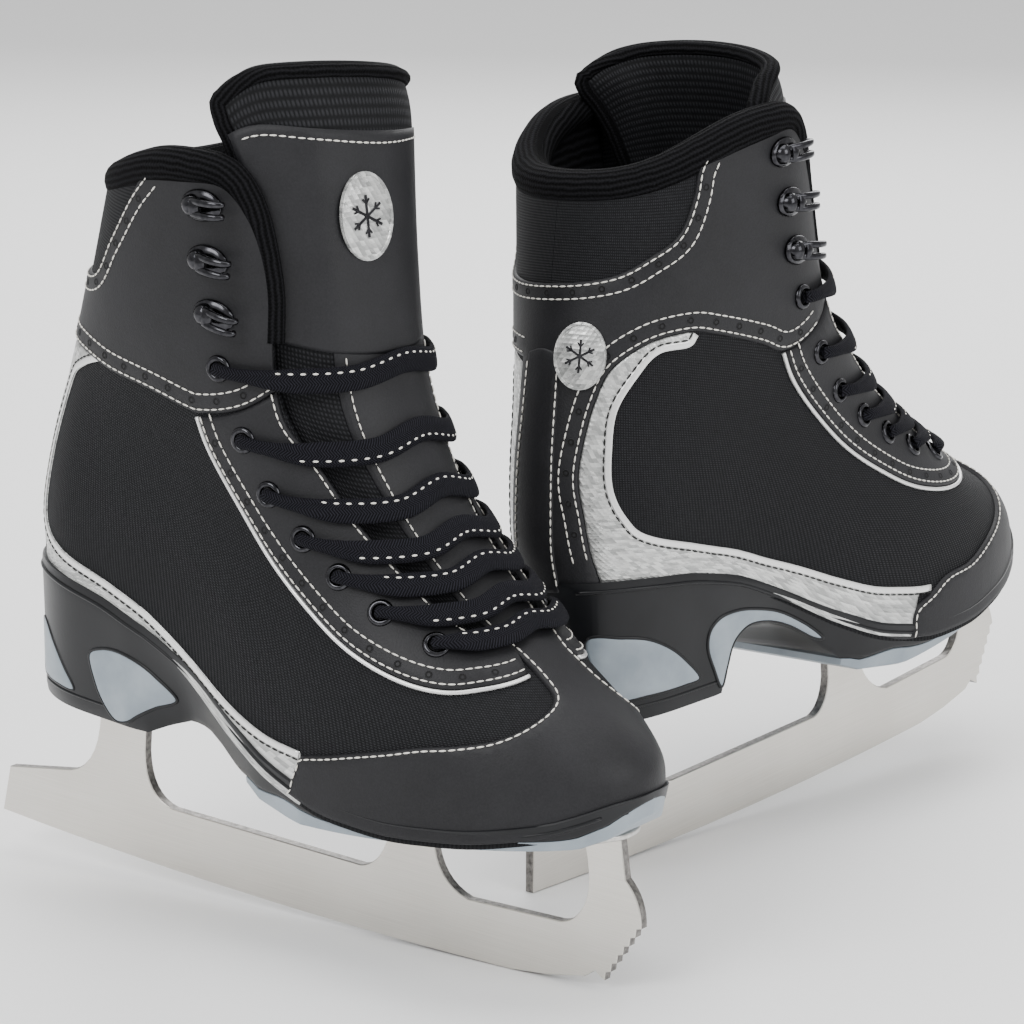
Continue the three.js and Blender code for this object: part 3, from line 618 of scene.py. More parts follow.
def silver_look():
    """Silver film embossed with a honeycomb of small slanted facets, with a painted reflection: each facet
    gets its own lighter or darker colour for the glint of its slant.
    """
    look = Look("embossed_silver_film_painted_glints", (0.6, 0.61, 0.6), 0.34, 0.7)
    _, u, v = look.weave()
    slant = look.math("MULTIPLY", v, 1.1547)
    across = look.math("SUBTRACT", u, look.math("MULTIPLY", v, 0.577))
    sheared = look.node("ShaderNodeCombineXYZ", X=across, Y=slant).outputs[0]
    cells = look.node("ShaderNodeTexVoronoi", Vector=sheared, Scale=0.5, Randomness=0.12)
    tone = look.node("ShaderNodeSeparateColor", Color=cells.outputs["Color"])
    # Painted reflection: a random brightness for each facet stands in for how its slant catches the light.
    look.color(look.ramp(tone.outputs[0], (0.36, 0.365, 0.36), (0.66, 0.665, 0.65), (0.1, 0.9)))
    look.rough(tone.outputs[1], 0.25, 0.5)
    look.bump(look.math("ADD", look.math("MULTIPLY", tone.outputs[2], 0.5), cells.outputs["Distance"]),
              0.35, 0.5)
    return look.material


def piping_look():
    look = Look("silver_piping", (0.78, 0.78, 0.77), 0.26, 0.55)
    look.rough(look.noise(look.place(), 0.2, 3.0), 0.2, 0.4)
    return look.material


def sole_look():
    """Satin moulded sole: a low sheen with a faint flow pattern."""
    look = Look("moulded_sole", (0.006, 0.006, 0.007), 0.34, Specular_IOR_Level=0.27)
    cloud = look.noise(look.place(), 0.06, 4.0)
    look.color(look.ramp(cloud, (0.0045, 0.0048, 0.0058), (0.009, 0.0095, 0.011)))
    look.rough(cloud, 0.27, 0.42)
    look.bump(look.noise(look.place(), 0.7, 3.0), 0.05, 0.4)
    return look.material


def inlay_look():
    look = Look("grey_inlay", (0.34, 0.39, 0.44), 0.38)
    cloud = look.noise(look.place(), 0.08, 4.0)
    look.color(look.ramp(cloud, (0.21, 0.25, 0.285), (0.29, 0.335, 0.375)))
    look.rough(cloud, 0.3, 0.46)
    look.bump(look.noise(look.place(), 0.9, 3.0), 0.04, 0.4)
    return look.material


def steel_look():
    """Brushed blade steel: long fine scratches along the blade."""
    look = Look("brushed_steel", (0.74, 0.72, 0.68), 0.3, 1.0)
    _, u, v = look.weave()
    stretched = look.node("ShaderNodeCombineXYZ", X=look.math("MULTIPLY", u, 0.02),
                          Y=look.math("MULTIPLY", v, 2.4))
    scratch = look.noise(stretched.outputs[0], 1.0, 6.0, 0.7)
    cloud = look.noise(look.place(), 0.02, 3.0)
    tone = look.math("ADD", look.math("MULTIPLY", scratch, 0.6), look.math("MULTIPLY", cloud, 0.4))
    look.color(look.ramp(tone, (0.56, 0.535, 0.49), (0.74, 0.715, 0.665)))
    look.rough(scratch, 0.24, 0.4)
    look.bump(scratch, 0.03, 0.5)
    return look.material


def edge_look():
    """The blade's cut edges: darker, rougher steel."""
    look = Look("cut_steel_edge", (0.2, 0.19, 0.18), 0.4, 1.0)
    cloud = look.noise(look.place(), 0.6, 4.0)
    look.color(look.ramp(cloud, (0.1, 0.095, 0.09), (0.3, 0.285, 0.27)))
    look.bump(cloud, 0.05, 0.5)
    return look.material


def metal_look(name, low, high, roughness):
    look = Look(name, high, roughness, 1.0)
    cloud = look.noise(look.place(), 0.5, 4.0)
    look.color(look.ramp(cloud, low, high))
    look.rough(cloud, roughness * 0.8, roughness * 1.4)
    return look.material


# Near black: painted shade for the inside of the punched holes, darker than the dark nylon that shows through
# them, and for the eyelet holes.
def hole_shade_look():
    look = Look("painted_hole_shade", (0.003, 0.003, 0.003), 0.95)
    look.bump(look.noise(look.place(), 1.5), 0.1, 0.5)
    return look.material


def shim_look():
    look = Look("leather_shim", (0.16, 0.09, 0.06), 0.6)
    cloud = look.noise(look.place(), 0.3, 4.0)
    look.color(look.ramp(cloud, (0.1, 0.06, 0.04), (0.22, 0.14, 0.1)))
    look.bump(cloud, 0.1, 0.5)
    return look.material


def floor_look():
    look = Look("studio_floor", (0.93, 0.93, 0.93), 0.6)
    look.bump(look.noise(look.place(), 0.02), 0.1, 0.1)
    return look.material


NYLON, LEATHER, PLUSH, LACE = nylon_look(), leather_look(), plush_look(), lace_look()
THREAD, SILVER, PIPING = thread_look(), silver_look(), piping_look()
SOLE, INLAY, STEEL, CUT_EDGE = sole_look(), inlay_look(), steel_look(), edge_look()
GUNMETAL = metal_look("black_nickel", (0.025, 0.025, 0.028), (0.06, 0.06, 0.065), 0.16)
SCREW = metal_look("screw_steel", (0.5, 0.49, 0.47), (0.72, 0.71, 0.69), 0.24)
PLATE = metal_look("plate_steel", (0.5, 0.485, 0.46), (0.68, 0.665, 0.64), 0.32)
HOLE_SHADE, SHIM = hole_shade_look(), shim_look()
DARK_STITCH = leather_look("dark_thread", (0.004, 0.004, 0.004), (0.012, 0.012, 0.012))


# ---------------------------------------------------------------- placing on both skates
PLACING = {side: placing(side) for side in STANDS}
emitted = {}


def emit(name, shapes, material, replaces=(), body="skate", crisp=0):
    """One piece on each skate, riding on its body and standing for CAD nodes.

    Edges sharper than crisp degrees stay sharp. A piece with no body is left unattached. A soft piece that
    sits differently in each skate comes as one shape for each side.
    """
    made = []
    for side in STANDS:
        matrix, offset = PLACING[side]
        shape = shapes[side] if isinstance(shapes, dict) else shapes
        verts = (shape.verts @ matrix.T + offset) / 1000
        faces = shape.faces if STANDS[side]["mirror"] > 0 else [tuple(face)[::-1] for face in shape.faces]
        mesh = bpy.data.meshes.new(f"{side}_{name}_look")
        mesh.from_pydata(verts.tolist(), [], [tuple(int(i) for i in face) for face in faces])
        mesh.update()
        weave = mesh.attributes.new("weave_mm", "FLOAT_VECTOR", "POINT")
        across = np.zeros((len(verts), 3))
        across[:, :2] = shape.weave[:, :2]
        weave.data.foreach_set("vector", across.ravel())
        mesh.polygons.foreach_set("use_smooth", [True] * len(mesh.polygons))
        if crisp:
            mesh.set_sharp_from_angle(angle=math.radians(crisp))
        mesh.materials.append(material)
        piece = bpy.data.objects.new(f"{side}_{name}_look", mesh)
        bpy.context.scene.collection.objects.link(piece)
        if body:
            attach(piece, f"{side}_{body}")
        if replaces:
            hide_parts(*(f"{side}_{node}" for node in replaces))
        emitted[f"{side}_{name}"] = piece
        made.append(piece)
    return made


def settle_on_frame(probe, node):
    """Shifts both skates so that a probe outline's box matches a CAD node's box."""
    for side in STANDS:
        matrix, offset = PLACING[side]
        verts = probe @ matrix.T + offset
        low, high = (np.array(corner) * 1000 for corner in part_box(f"{side}_{node}"))
        shift = (low + high) / 2 - (verts.min(0) + verts.max(0)) / 2
        shift[2] = low[2] - verts[:, 2].min()
        PLACING[side] = (matrix, offset + shift)


def arc(start, pull, end, count=9):
    """Curve from a start towards an end, bent by a pull point; the start is left out."""
    t = np.linspace(0, 1, count)[1:, None]
    a, b, c = (np.array(p, float) for p in (start, pull, end))
    return ((1 - t) ** 2 * a + 2 * t * (1 - t) * b + t**2 * c).tolist()


def slab(outer, inner, weave=None):
    """Closed solid between two grids of points."""
    outer, inner = np.asarray(outer, float), np.asarray(inner, float)
    rows, columns = outer.shape[:2]
    layer = rows * columns
    faces = grid_faces(rows, columns)
    faces += [tuple(i + layer for i in face)[::-1] for face in grid_faces(rows, columns)]
    rim = list(range(columns))
    rim += [j * columns + columns - 1 for j in range(1, rows)]
    rim += [(rows - 1) * columns + i for i in range(columns - 2, -1, -1)]
    rim += [j * columns for j in range(rows - 2, 0, -1)]
    for a, b in zip(rim, rim[1:] + rim[:1]):
        faces.append((a, a + layer, b + layer, b))
    verts = np.concatenate([outer.reshape(-1, 3), inner.reshape(-1, 3)])
    if weave is None:
        across = np.linalg.norm(np.diff(outer, axis=1, prepend=outer[:, :1]), axis=2).cumsum(1)
        up = np.linalg.norm(np.diff(outer, axis=0, prepend=outer[:1]), axis=2).cumsum(0)
        weave = np.stack([across - across.mean(1, keepdims=True), up], 2)
    flat = np.asarray(weave).reshape(-1, 2)
    return outward(Shape(verts, faces, np.concatenate([flat, flat])))


def find_on_skin(x, z):
    """Level and way of the surface point at a side-view place."""
    level, way = np.array([0.5]), np.array([0.5])
    for _ in range(60):
        here = skin(level, way, 1.0)[0]
        by_way = (skin(level, way + 0.001, 1.0)[0] - here) / 0.001
        by_level = (skin(level + 0.001, way, 1.0)[0] - here) / 0.001
        det = by_way[0] * by_level[2] - by_level[0] * by_way[2]
        dx, dz = x - here[0], z - here[2]
        way = np.clip(way + np.clip((dx * by_level[2] - by_level[0] * dz) / det, -0.1, 0.1), 0.01, 0.99)
        level = np.clip(level + np.clip((by_way[0] * dz - dx * by_way[2]) / det, -0.1, 0.1), 0, 0.998)
    return level[0], way[0]


# ---------------------------------------------------------------- blade
BLADE_HALF = 2.0
PLATE_THICKNESS = 2.0
GAP = 0.3
HEEL_BASE_Z = 61.0
PLATE_BED = [[165, 49.8], [265, 60.8]]
HEEL_PLATE_TOP = HEEL_BASE_Z - GAP


def rocker(x):
    return (x - ROCKER_LOW_X) ** 2 / (2 * ROCKER_RADIUS)


def under_plate(x):
    return float(along(PLATE_BED, x)) - PLATE_THICKNESS - 2 * GAP


def blade_outline():
    """Side view of the blade: rocker, toe picks, and stanchions with the openings between them."""
    points = [[x, rocker(x)] for x in np.linspace(0, 225, 40)]
    points += [[240, 3.3], [254.8, 6.6], [258.5, 9.5]]
    teeth, low, high = 6, np.array([262.5, 7.0]), np.array([275.4, 28.5])
    for k in range(teeth):
        tooth = low + (high - low) * k / teeth
        points += [tooth.tolist(), (tooth + [0.2, 2.9]).tolist()]
    points.append(high.tolist())
    points += arc(high, (275, 38), (268, 44))
    points += [[265, under_plate(265)], [250, under_plate(250)]]
    points += arc(points[-1], (257, 37), (251, 28.5))
    points += arc((251, 28.5), (248, 24), (243, 23.4))
    points.append([206, 21.8])
    points += arc((206, 21.8), (193, 25), (190.5, 40))
    points += [[190.5, under_plate(190.5)], [172.5, under_plate(172.5)], [171.5, 36]]
    points += arc((171.5, 36), (169, 25), (161, 23.2))
    points.append([78, 23.8])
    points += arc((78, 23.8), (66, 26), (64.6, 42))
    heel = HEEL_PLATE_TOP - PLATE_THICKNESS - GAP
    points += [[64.6, heel], [43.5, heel]]
    points += arc((43.5, heel), (45.5, 32), (31, 27.8))
    points.append([2.5, 22.6])
    return np.array(points)


def inset(edge, depth):
    """A flat outline moved inward, along the mean of the two edges at each corner."""
    before, after = unit(edge - np.roll(edge, 1, 0)), unit(np.roll(edge, -1, 0) - edge)
    normal = unit(np.stack([-(before + after)[:, 1], (before + after)[:, 0]], 1))
    x, y = edge[:, 0], edge[:, 1]
    if (x * np.roll(y, -1) - np.roll(x, -1) * y).sum() < 0:
        normal = -normal
    return edge + normal * depth


def sheet_metal(edge, half, bevel):
    """A flat outline in the side view as two shapes: its bevelled faces, and the cut edge between them."""
    inner = inset(edge, bevel)
    made = delaunay_2d_cdt([Vector(p) for p in inner], [], [list(range(len(inner)))], 1, 1e-6)
    flat, faces = np.array([list(v) for v in made[0]]), [tuple(f) for f in made[2]]
    lay = lambda places, y: np.stack([places[:, 0], np.full(len(places), y), places[:, 1]], 1)
    count = len(edge)
    parts = []
    for way in (1, -1):
        cap = Shape(lay(flat, way * half), faces if way < 0 else [f[::-1] for f in faces])
        strip = np.concatenate([lay(inner, way * half), lay(edge, way * (half - bevel))])
        around = [(i, (i + 1) % count, (i + 1) % count + count, i + count) for i in range(count)]
        parts += [cap, Shape(strip, around if way > 0 else [f[::-1] for f in around])]
    rim = np.concatenate([lay(edge, half - bevel), lay(edge, bevel - half)])
    cut = Shape(rim, [(i, (i + 1) % count, (i + 1) % count + count, i + count) for i in range(count)])
    return joined(parts), cut


BLADE = blade_outline()
BLADE_BOX = np.array([[x, y, z] for x, z in BLADE for y in (-BLADE_HALF, BLADE_HALF)])
settle_on_frame(BLADE_BOX, "blade")
blade_faces, blade_cut = sheet_metal(BLADE, BLADE_HALF, 0.3)
emit("blade", blade_faces, STEEL, ["blade"], crisp=30)
emit("blade_edge", blade_cut, CUT_EDGE, crisp=30)


def plate_shape(widths, top, thickness=PLATE_THICKNESS):
    """Flat mounting plate with a rounded rim: half widths by x, top height by x."""
    xs, halves = np.array(widths, float).T
    run = np.linspace(0, 1, 60)
    x = xs[0] + (xs[-1] - xs[0]) * (1 - np.cos(np.pi * run)) / 2
    half = np.interp(x, xs, halves)
    ends = np.minimum(x - x[0], x[-1] - x)
    half = np.minimum(half, 1 + np.sqrt(np.maximum(ends, 0)) * 5.5)
    edge = np.concatenate([np.stack([x, half], 1), np.stack([x, -half], 1)[::-1]])
    stack = []
    for depth, drop in ((6.0, 0.0), (0.5, 0.0), (0.1, 0.35), (0.0, 0.8), (0.0, thickness - 0.4),
                        (0.5, thickness),
                        (6.0, thickness)):
        centre = np.array([(x[0] + x[-1]) / 2, 0])
        ring = edge - unit(edge - centre) * depth
        z = np.array([top(px) for px in ring[:, 0]]) - drop
        stack.append(np.column_stack([ring, z]))
    return rings(stack)


HEEL_PLATE = [[31, 9], [36, 15], [46, 18], [66, 18], [79, 13.5], [86, 9]]
SOLE_PLATE = [[168, 9], [176, 15], [192, 20], [215, 25], [238, 27], [256, 22], [268, 9]]


def bed_top(x):
    return float(along(PLATE_BED, x)) - GAP


emit("heel_plate", plate_shape(HEEL_PLATE, lambda x: HEEL_PLATE_TOP), PLATE, ["heel_plate"],
     crisp=50)
emit("sole_plate", plate_shape(SOLE_PLATE, bed_top), PLATE, ["sole_plate"], crisp=50)

# Domed screw heads, under the plates.
SCREW_PROFILE = [(0.02, -2.3), (1.2, -2.22), (2.3, -1.8), (3.2, -1.1), (3.6, -0.4), (3.6, 0.0), (0.02, 0.0)]
HEEL_SCREWS = [[38.5, 0], [74, 8.5], [74, -8.5]]
SOLE_SCREWS = [[199, 13], [199, -13], [242, 18], [242, -18]]


def screw(x, y, z):
    return lathe(SCREW_PROFILE, 24).moved([x, y, z], np.eye(3))


heel_screw_z = HEEL_PLATE_TOP - PLATE_THICKNESS - GAP
heel_names = [f"heel_screw_{i + 1}" for i in range(len(HEEL_SCREWS))]
sole_names = [f"sole_screw_{i + 1}" for i in range(len(SOLE_SCREWS))]
emit("heel_screws", joined([screw(x, y, heel_screw_z) for x, y in HEEL_SCREWS]), SCREW,
     heel_names, crisp=45)
emit("sole_screws", joined([screw(x, y, under_plate(x)) for x, y in SOLE_SCREWS]), SCREW,
     sole_names,
     crisp=45)


# ---------------------------------------------------------------- sole and heel
SOLE_UNDERSIDE = [[20, 112], [23.5, 104], [28, 66], [29.5, HEEL_BASE_Z], [87, HEEL_BASE_Z], [96, 65.5],
                  [106, 69.5], [114, 69], [122, 65], [132, 58.5], [144, 52.5], *PLATE_BED, [272, 64],
                  [279, 71]]
SOLE_FLARE = [[20, 5], [80, 5], [105, 9], [130, 8], [160, 4], [279, 3]]
OUTER_ARCH = [[77, 50], [79, 62], [81, 70], [85, 78.5], [93, 82.5], [104, 81], [114, 76.5], [124, 69.5],
              [134, 60], [140, 50]]
SOLE_LIP = 1.8
SOLE_ENDS = (BACK_X[0] - SOLE_LIP, FRONT_X[0] + SOLE_LIP)
GREY_THICKNESS = 3.6


def sole_half(x):
    across = np.clip((x - SOLE_ENDS[0]) / (SOLE_ENDS[1] - SOLE_ENDS[0]), 0, 1)
    way = np.arccos(1 - 2 * across) / np.pi
    return spline(HALF_WIDTHS[0], way) + SOLE_LIP * np.minimum(1, 12 * np.sin(np.pi * way))


def sole_rim(x, side):
    """The rim dips under the silver band on the inner side of the heel, and laps higher up the forefoot."""
    dip = np.where(np.asarray(side) > 0, 4.6, 0.8) * (1 - smooth(x, 78, 120))
    return sole_joint(x) + 1.6 - dip + 1.7 * smooth(x, 110, 145)


def sole_low(x, side):
    """Underside along one wall: the outer wall opens into a higher arch in front of the heel."""
    base = along(SOLE_UNDERSIDE, x)
    return base if side > 0 else np.maximum(base, eased(OUTER_ARCH, x, 1.5))


def sole_swing(x):
    return TOE_SWING * smooth(x, 150, 277)


def grey_top(x):
    """Height of the line between the grey layer and the black sole, with its wave and its climb."""
    wave = 3.2 * np.exp(-((x - 160) / 11) ** 2)
    toe = 1.6 * smooth(x, 258, 276)
    layer = along(SOLE_UNDERSIDE, x) + GREY_THICKNESS * smooth(x, 128, 142)
    return layer + (wave + toe) * smooth(x, 128, 145)


def sole_side(x, z, side):
    """Point on the side wall of the sole unit."""
    low, high = along(SOLE_UNDERSIDE, x), sole_rim(x, side)
    down = np.clip((high - z) / np.maximum(high - low, 0.5), 0, 1)
    half = np.maximum(sole_half(x) - along(SOLE_FLARE, x) * down**0.85, 0.8)
    return np.stack([x, side * half + sole_swing(x), z], -1)


def sole_block(x, bottom, top, inset_by=0.0, rows=16):
    """Closed block of the sole between two heights by x and side, rounded at the rim and the base."""
    down = np.linspace(0, 1, rows)
    round_off = 0.9 * ((1 - np.clip(down / 0.1, 0, 1)) ** 2 + (1 - np.clip((1 - down) / 0.1, 0, 1)) ** 2)
    walls_of = []
    for side in (1.0, -1.0):
        low, high = bottom(x, side)[:, None], top(x, side)[:, None]
        z = high + (low - high) * down
        at = np.broadcast_to(x[:, None], z.shape)
        wall = sole_side(at, z, side)
        swing = sole_swing(at)
        wall[..., 1] = swing + side * np.maximum(np.abs(wall[..., 1] - swing) - inset_by - round_off, 0.3)
        walls_of.append(wall)
    return rings(np.concatenate([walls_of[0], walls_of[1][:, ::-1]], 1))


run = np.linspace(0.012, 0.988, 110)
SOLE_X = SOLE_ENDS[0] + (SOLE_ENDS[1] - SOLE_ENDS[0]) * (1 - np.cos(np.pi * run)) / 2
SOLE_X = np.unique(np.concatenate([SOLE_X, [28, 29.5, 87]]))
black_low = lambda x, side: sole_low(x, side) + grey_top(x) - along(SOLE_UNDERSIDE, x)
emit("outsole", sole_block(SOLE_X, black_low, sole_rim), SOLE, ["outsole"], crisp=38)
front = SOLE_X[SOLE_X > 134]
grey = sole_block(front, sole_low, lambda x, side: grey_top(x) + 0.2, 0.35)
emit("sole_layer", grey, INLAY, ["sole_layer"], crisp=38)


def side_patch(corners, lift, side, fine=1.8, roll=0.7):
    """Moulded inlay on the wall of the sole, from a closed side-view outline."""
    edge = np.array(corners, float)
    flat, faces = flat_mesh(edge, fine, [0.3 * roll, roll])
    depth = np.clip(edge_distance(flat, edge) / roll, 0, 1)
    x, z = flat[:, 0], flat[:, 1]
    point = sole_side(x, z, side)
    along_x = sole_side(x + 0.5, z, side) - sole_side(x - 0.5, z, side)
    along_z = sole_side(x, z + 0.5, side) - sole_side(x, z - 0.5, side)
    normal = unit(np.cross(along_z, along_x)) * side
    height = -0.3 + (lift + 0.3) * np.sqrt(1 - (1 - depth) ** 2)
    return Shape(point + normal * height[:, None], faces if side < 0 else [f[::-1] for f in faces], flat)


# Grey inlays of the heel: a drop and a rear wedge on the inner wall,
# a half round and an arch on the outer one.
DROP = [[60.5, 84], [66.5, 87.5], [75, 88.5], [84, 87], [92, 83.5], [101, 76.5], [91.5, 71.5], [84, 67],
        [78.5, 63.2],
        [72.5, 62.6], [66.5, 68], [62.5, 75.5]]
WEDGE = [[28.8, 87], [29.6, 70], [34, 68.2], [42, 68], [51.5, 68.5], [46, 75.5], [40, 82], [33, 88.5]]
HALF_ROUND = [[27, 94.5], [36, 93.5], [45, 91], [54, 85.5], [61, 79], [67.5, 70.5], [60, 69.6], [45, 69.8],
              [31, 70.5],
              [28, 82]]
OUTER_CRESCENT = [[78, 64], [74.5, 72], [72, 80], [73, 86.5], [78, 90.5], [86, 91], [95, 89.3], [108, 84.8],
                  [120, 77], [128, 69.5], [124, 70.5], [114, 77.5], [104, 82], [93, 83.6], [85, 79.5],
                  [81, 71]]


def closed_round(points, count=60):
    """Smooth closed outline through a few corners."""
    p = np.array(points, float)
    wrapped = np.concatenate([p[-2:], p, p[:3]])
    at = np.linspace(2 / (len(wrapped) - 1), (2 + len(p)) / (len(wrapped) - 1), count, endpoint=False)
    return np.stack([spline(wrapped[:, k], at) for k in range(2)], 1)


walls = (1.0, -1.0)
inlays = [side_patch(closed_round(DROP), 0.5, 1.0), side_patch(closed_round(HALF_ROUND), 0.5, -1.0)]
emit("heel_core", joined(inlays), INLAY, ["heel_core"])
inlays = [side_patch(closed_round(WEDGE), 0.45, 1.0),
          side_patch(closed_round(OUTER_CRESCENT, 90), 0.45, -1.0)]
emit("heel_inlays", joined(inlays), INLAY)


def side_bead(corners, side, radius=0.7):
    """Raised black lip round an inlay."""
    edge = closed_round(corners, 120)
    edge = np.concatenate([edge, edge[:2]])
    x, z = edge.T
    out = sole_side(x, z, side) - np.column_stack([x, sole_swing(x), z])
    return sweep(sole_side(x, z, side), unit(out), ellipse(radius, radius * 0.75, 8))


lips = [side_bead(DROP, 1.0), side_bead(WEDGE, 1.0, 0.5), side_bead(HALF_ROUND, -1.0),
        side_bead(OUTER_CRESCENT, -1.0)]
rim_x = SOLE_X[(SOLE_X > 24) & (SOLE_X < 272)]
for side in walls:
    z = sole_rim(rim_x, side) - 3.4
    rim_line = sole_side(rim_x, z, side)
    lips.append(sweep(rim_line, [0, 0, 1], ellipse(0.55, 0.7, 8)))
    flat_x = rim_x[(rim_x > 31) & (rim_x < 76)]
    base_line = sole_side(flat_x, np.full(len(flat_x), 66.5), side)
    lips.append(sweep(base_line, [0, 0, 1], ellipse(0.4, 0.5, 8)))
emit("sole_lips", joined(lips), SOLE)

# Brown leather shim between the heel and its plate.
emit("heel_shim", plate_shape([[31, 14], [40, 21], [60, 23], [76, 21], [84, 14]],
                              lambda x: HEEL_BASE_Z + 0.9, 1.2),
     SHIM, crisp=50)


# ---------------------------------------------------------------- upper
def shell_grid(level_low, level_high, way_end, side, columns, rows, lift):
    """Rows of points over one side, from the heel to way_end(level)."""
    v = np.linspace(0, 1, rows)[:, None]
    u = np.linspace(0, 1, columns)[None, :]
    top = 1 if level_high is None else level_high
    level = level_low + (top - level_low) * v
    level = np.broadcast_to(level, (rows, columns))
    way = way_end(level[:, :1]) * u
    if level_high is None:
        level = level_low + (collar_level(way) - level_low) * v
    point = surface(level.ravel(), way.ravel(), side, lift)
    weave = np.stack([way * WIDE * side, level * TALL], 2)
    return point.reshape(rows, columns, 3), weave


shell = []
for side in walls:
    to_toe = lambda level: np.ones_like(level)
    outer, weave = shell_grid(-0.06, 0.455, to_toe, side, 90, 34, 0.0)
    inner, _ = shell_grid(-0.06, 0.455, to_toe, side, 90, 34, -SHELL)
    shell.append(slab(outer, inner, weave))
    outer, weave = shell_grid(0.45, None, throat_way, side, 64, 52, 0.0)
    inner, _ = shell_grid(0.45, None, throat_way, side, 64, 52, -SHELL)
    shell.append(slab(outer, inner, weave))
emit("upper", joined(shell), NYLON, ["upper_shell"], crisp=60)

CUFF = [(0.61, 1.0), (0.53, 1.0), (0.42, 0.985), (0.37, 0.94), (0.31, 0.86), (0.25, 0.78), (0.12, 0.75),
        (-0.03, 0.75),
        (-0.15, 0.77), (-0.23, 0.81), (-0.29, 0.85), (-0.32, 0.91), (-0.33, 0.955), (-0.345, 0.98),
        (-0.5, 1.0),
        (-0.61, 1.0)]
YOKE_THROAT_IN = [(0.695, 0.74), (0.705, 0.80), (0.72, 0.86), (0.70, 0.93), (0.67, 0.975), (0.61, 1.0)]
YOKE_LOW_IN = [(0.075, 0.585), (0.12, 0.592), (0.23, 0.61), (0.32, 0.62), (0.42, 0.64), (0.50, 0.65),
               (0.53, 0.66),
               (0.62, 0.70), (0.695, 0.74)]
YOKE_BACK_IN = [(0.08, -0.05), (0.075, 0.2), (0.075, 0.4), (0.075, 0.585)]
YOKE_SOLE = [(-0.13, -0.04), (0.0, -0.05), (0.08, -0.05)]
YOKE_BAND_OUT = [(-0.695, 0.74), (-0.62, 0.70), (-0.54, 0.66), (-0.50, 0.65), (-0.46, 0.66), (-0.37, 0.67),
                 (-0.31, 0.67), (-0.23, 0.64), (-0.16, 0.58), (-0.13, 0.51), (-0.11, 0.42), (-0.10, 0.33),
                 (-0.11, 0.23), (-0.12, 0.10), (-0.13, -0.04)]
YOKE_THROAT_OUT = [(-0.61, 1.0), (-0.67, 0.975), (-0.70, 0.93), (-0.72, 0.86), (-0.705, 0.80), (-0.695, 0.74)]
yoke = panel("heel", [YOKE_THROAT_IN, CUFF, YOKE_THROAT_OUT, YOKE_BAND_OUT, YOKE_SOLE, YOKE_BACK_IN,
                      YOKE_LOW_IN],
             1.1, 0.1, fine=3.2)
emit("yoke", yoke, LEATHER, ["ankle_panel_inner", "ankle_panel_outer"])

STAY_LOW = [(0.515, 0.65), (0.52, 0.60), (0.54, 0.53), (0.565, 0.46), (0.6, 0.405), (0.64, 0.365),
            (0.69, 0.345),
            (0.75, 0.345), (0.82, 0.37), (0.91, 0.40)]
STAY_TIP = [(0.91, 0.40), (0.925, 0.43), (0.93, 0.46)]
STAY_THROAT = [(0.93, 0.46), (0.89, 0.46), (0.86, 0.47), (0.83, 0.50), (0.80, 0.55), (0.77, 0.60),
               (0.74, 0.66),
               (0.70, 0.70), (0.695, 0.74)]
STAY_TOP = [(0.695, 0.74), (0.62, 0.70), (0.56, 0.67), (0.515, 0.65)]


def other_side(points):
    return [(-s, level) for s, level in points]


for name, face in (("inner", lambda p: p), ("outer", other_side)):
    stay = [face(part) for part in (STAY_LOW, STAY_TIP, STAY_THROAT, STAY_TOP)]
    emit(f"eyestay_{name}", panel("heel", stay, 1.2, 0.35), LEATHER, [f"eyestay_{name}"])

TOE_TOP = [(0.09, 0.46), (0.0, 0.465), (-0.09, 0.455)]
TOE_OUT = [(-0.09, 0.455), (-0.075, 0.43), (-0.07, 0.41), (-0.08, 0.35), (-0.11, 0.28), (-0.15, 0.24),
           (-0.22, 0.19),
           (-0.28, 0.16), (-0.34, 0.13), (-0.39, 0.12), (-0.42, 0.09), (-0.45, 0.05), (-0.46, -0.03)]
TOE_SOLE = [(-0.46, -0.03), (0.0, -0.03), (0.47, -0.03)]
TOE_IN = [(0.47, -0.03), (0.46, 0.05), (0.44, 0.10), (0.33, 0.19), (0.27, 0.22), (0.21, 0.25), (0.14, 0.30),
          (0.08, 0.35), (0.07, 0.39), (0.075, 0.43), (0.09, 0.46)]
toe_cap = panel("toe", [TOE_TOP, TOE_OUT, TOE_SOLE, TOE_IN], 1.2, 0.35)
emit("toe_cap", toe_cap, LEATHER, ["toe_cap"])

SWOOSH_IN_BACK = [(0.07, 0.57), (0.07, 0.3), (0.07, 0.1), (0.07, -0.06)]
SWOOSH_IN_SOLE = [(0.07, -0.06), (0.3, -0.07), (0.545, -0.06)]
SWOOSH_IN_TIP = [(0.545, -0.06), (0.548, 0.02), (0.545, 0.09)]
SWOOSH_IN_EDGE = [(0.545, 0.09), (0.52, 0.078), (0.47, 0.055), (0.43, 0.042), (0.39, 0.036), (0.33, 0.034),
                  (0.26, 0.04),
                  (0.19, 0.06), (0.142, 0.105), (0.13, 0.17), (0.13, 0.26), (0.145, 0.41), (0.175, 0.52),
                  (0.225, 0.575),
                  (0.30, 0.63)]
SWOOSH_IN_TOP = [(0.30, 0.63), (0.23, 0.61), (0.14, 0.59), (0.07, 0.57)]
SWOOSH_OUT_BACK = [(-0.33, 0.665), (-0.31, 0.67), (-0.23, 0.64), (-0.16, 0.58), (-0.13, 0.51), (-0.11, 0.42),
                   (-0.10, 0.33), (-0.11, 0.23), (-0.12, 0.10), (-0.13, -0.03)]
SWOOSH_OUT_SOLE = [(-0.13, -0.03), (-0.34, -0.04), (-0.545, -0.03)]
SWOOSH_OUT_TIP = [(-0.545, -0.03), (-0.56, 0.08), (-0.58, 0.11)]
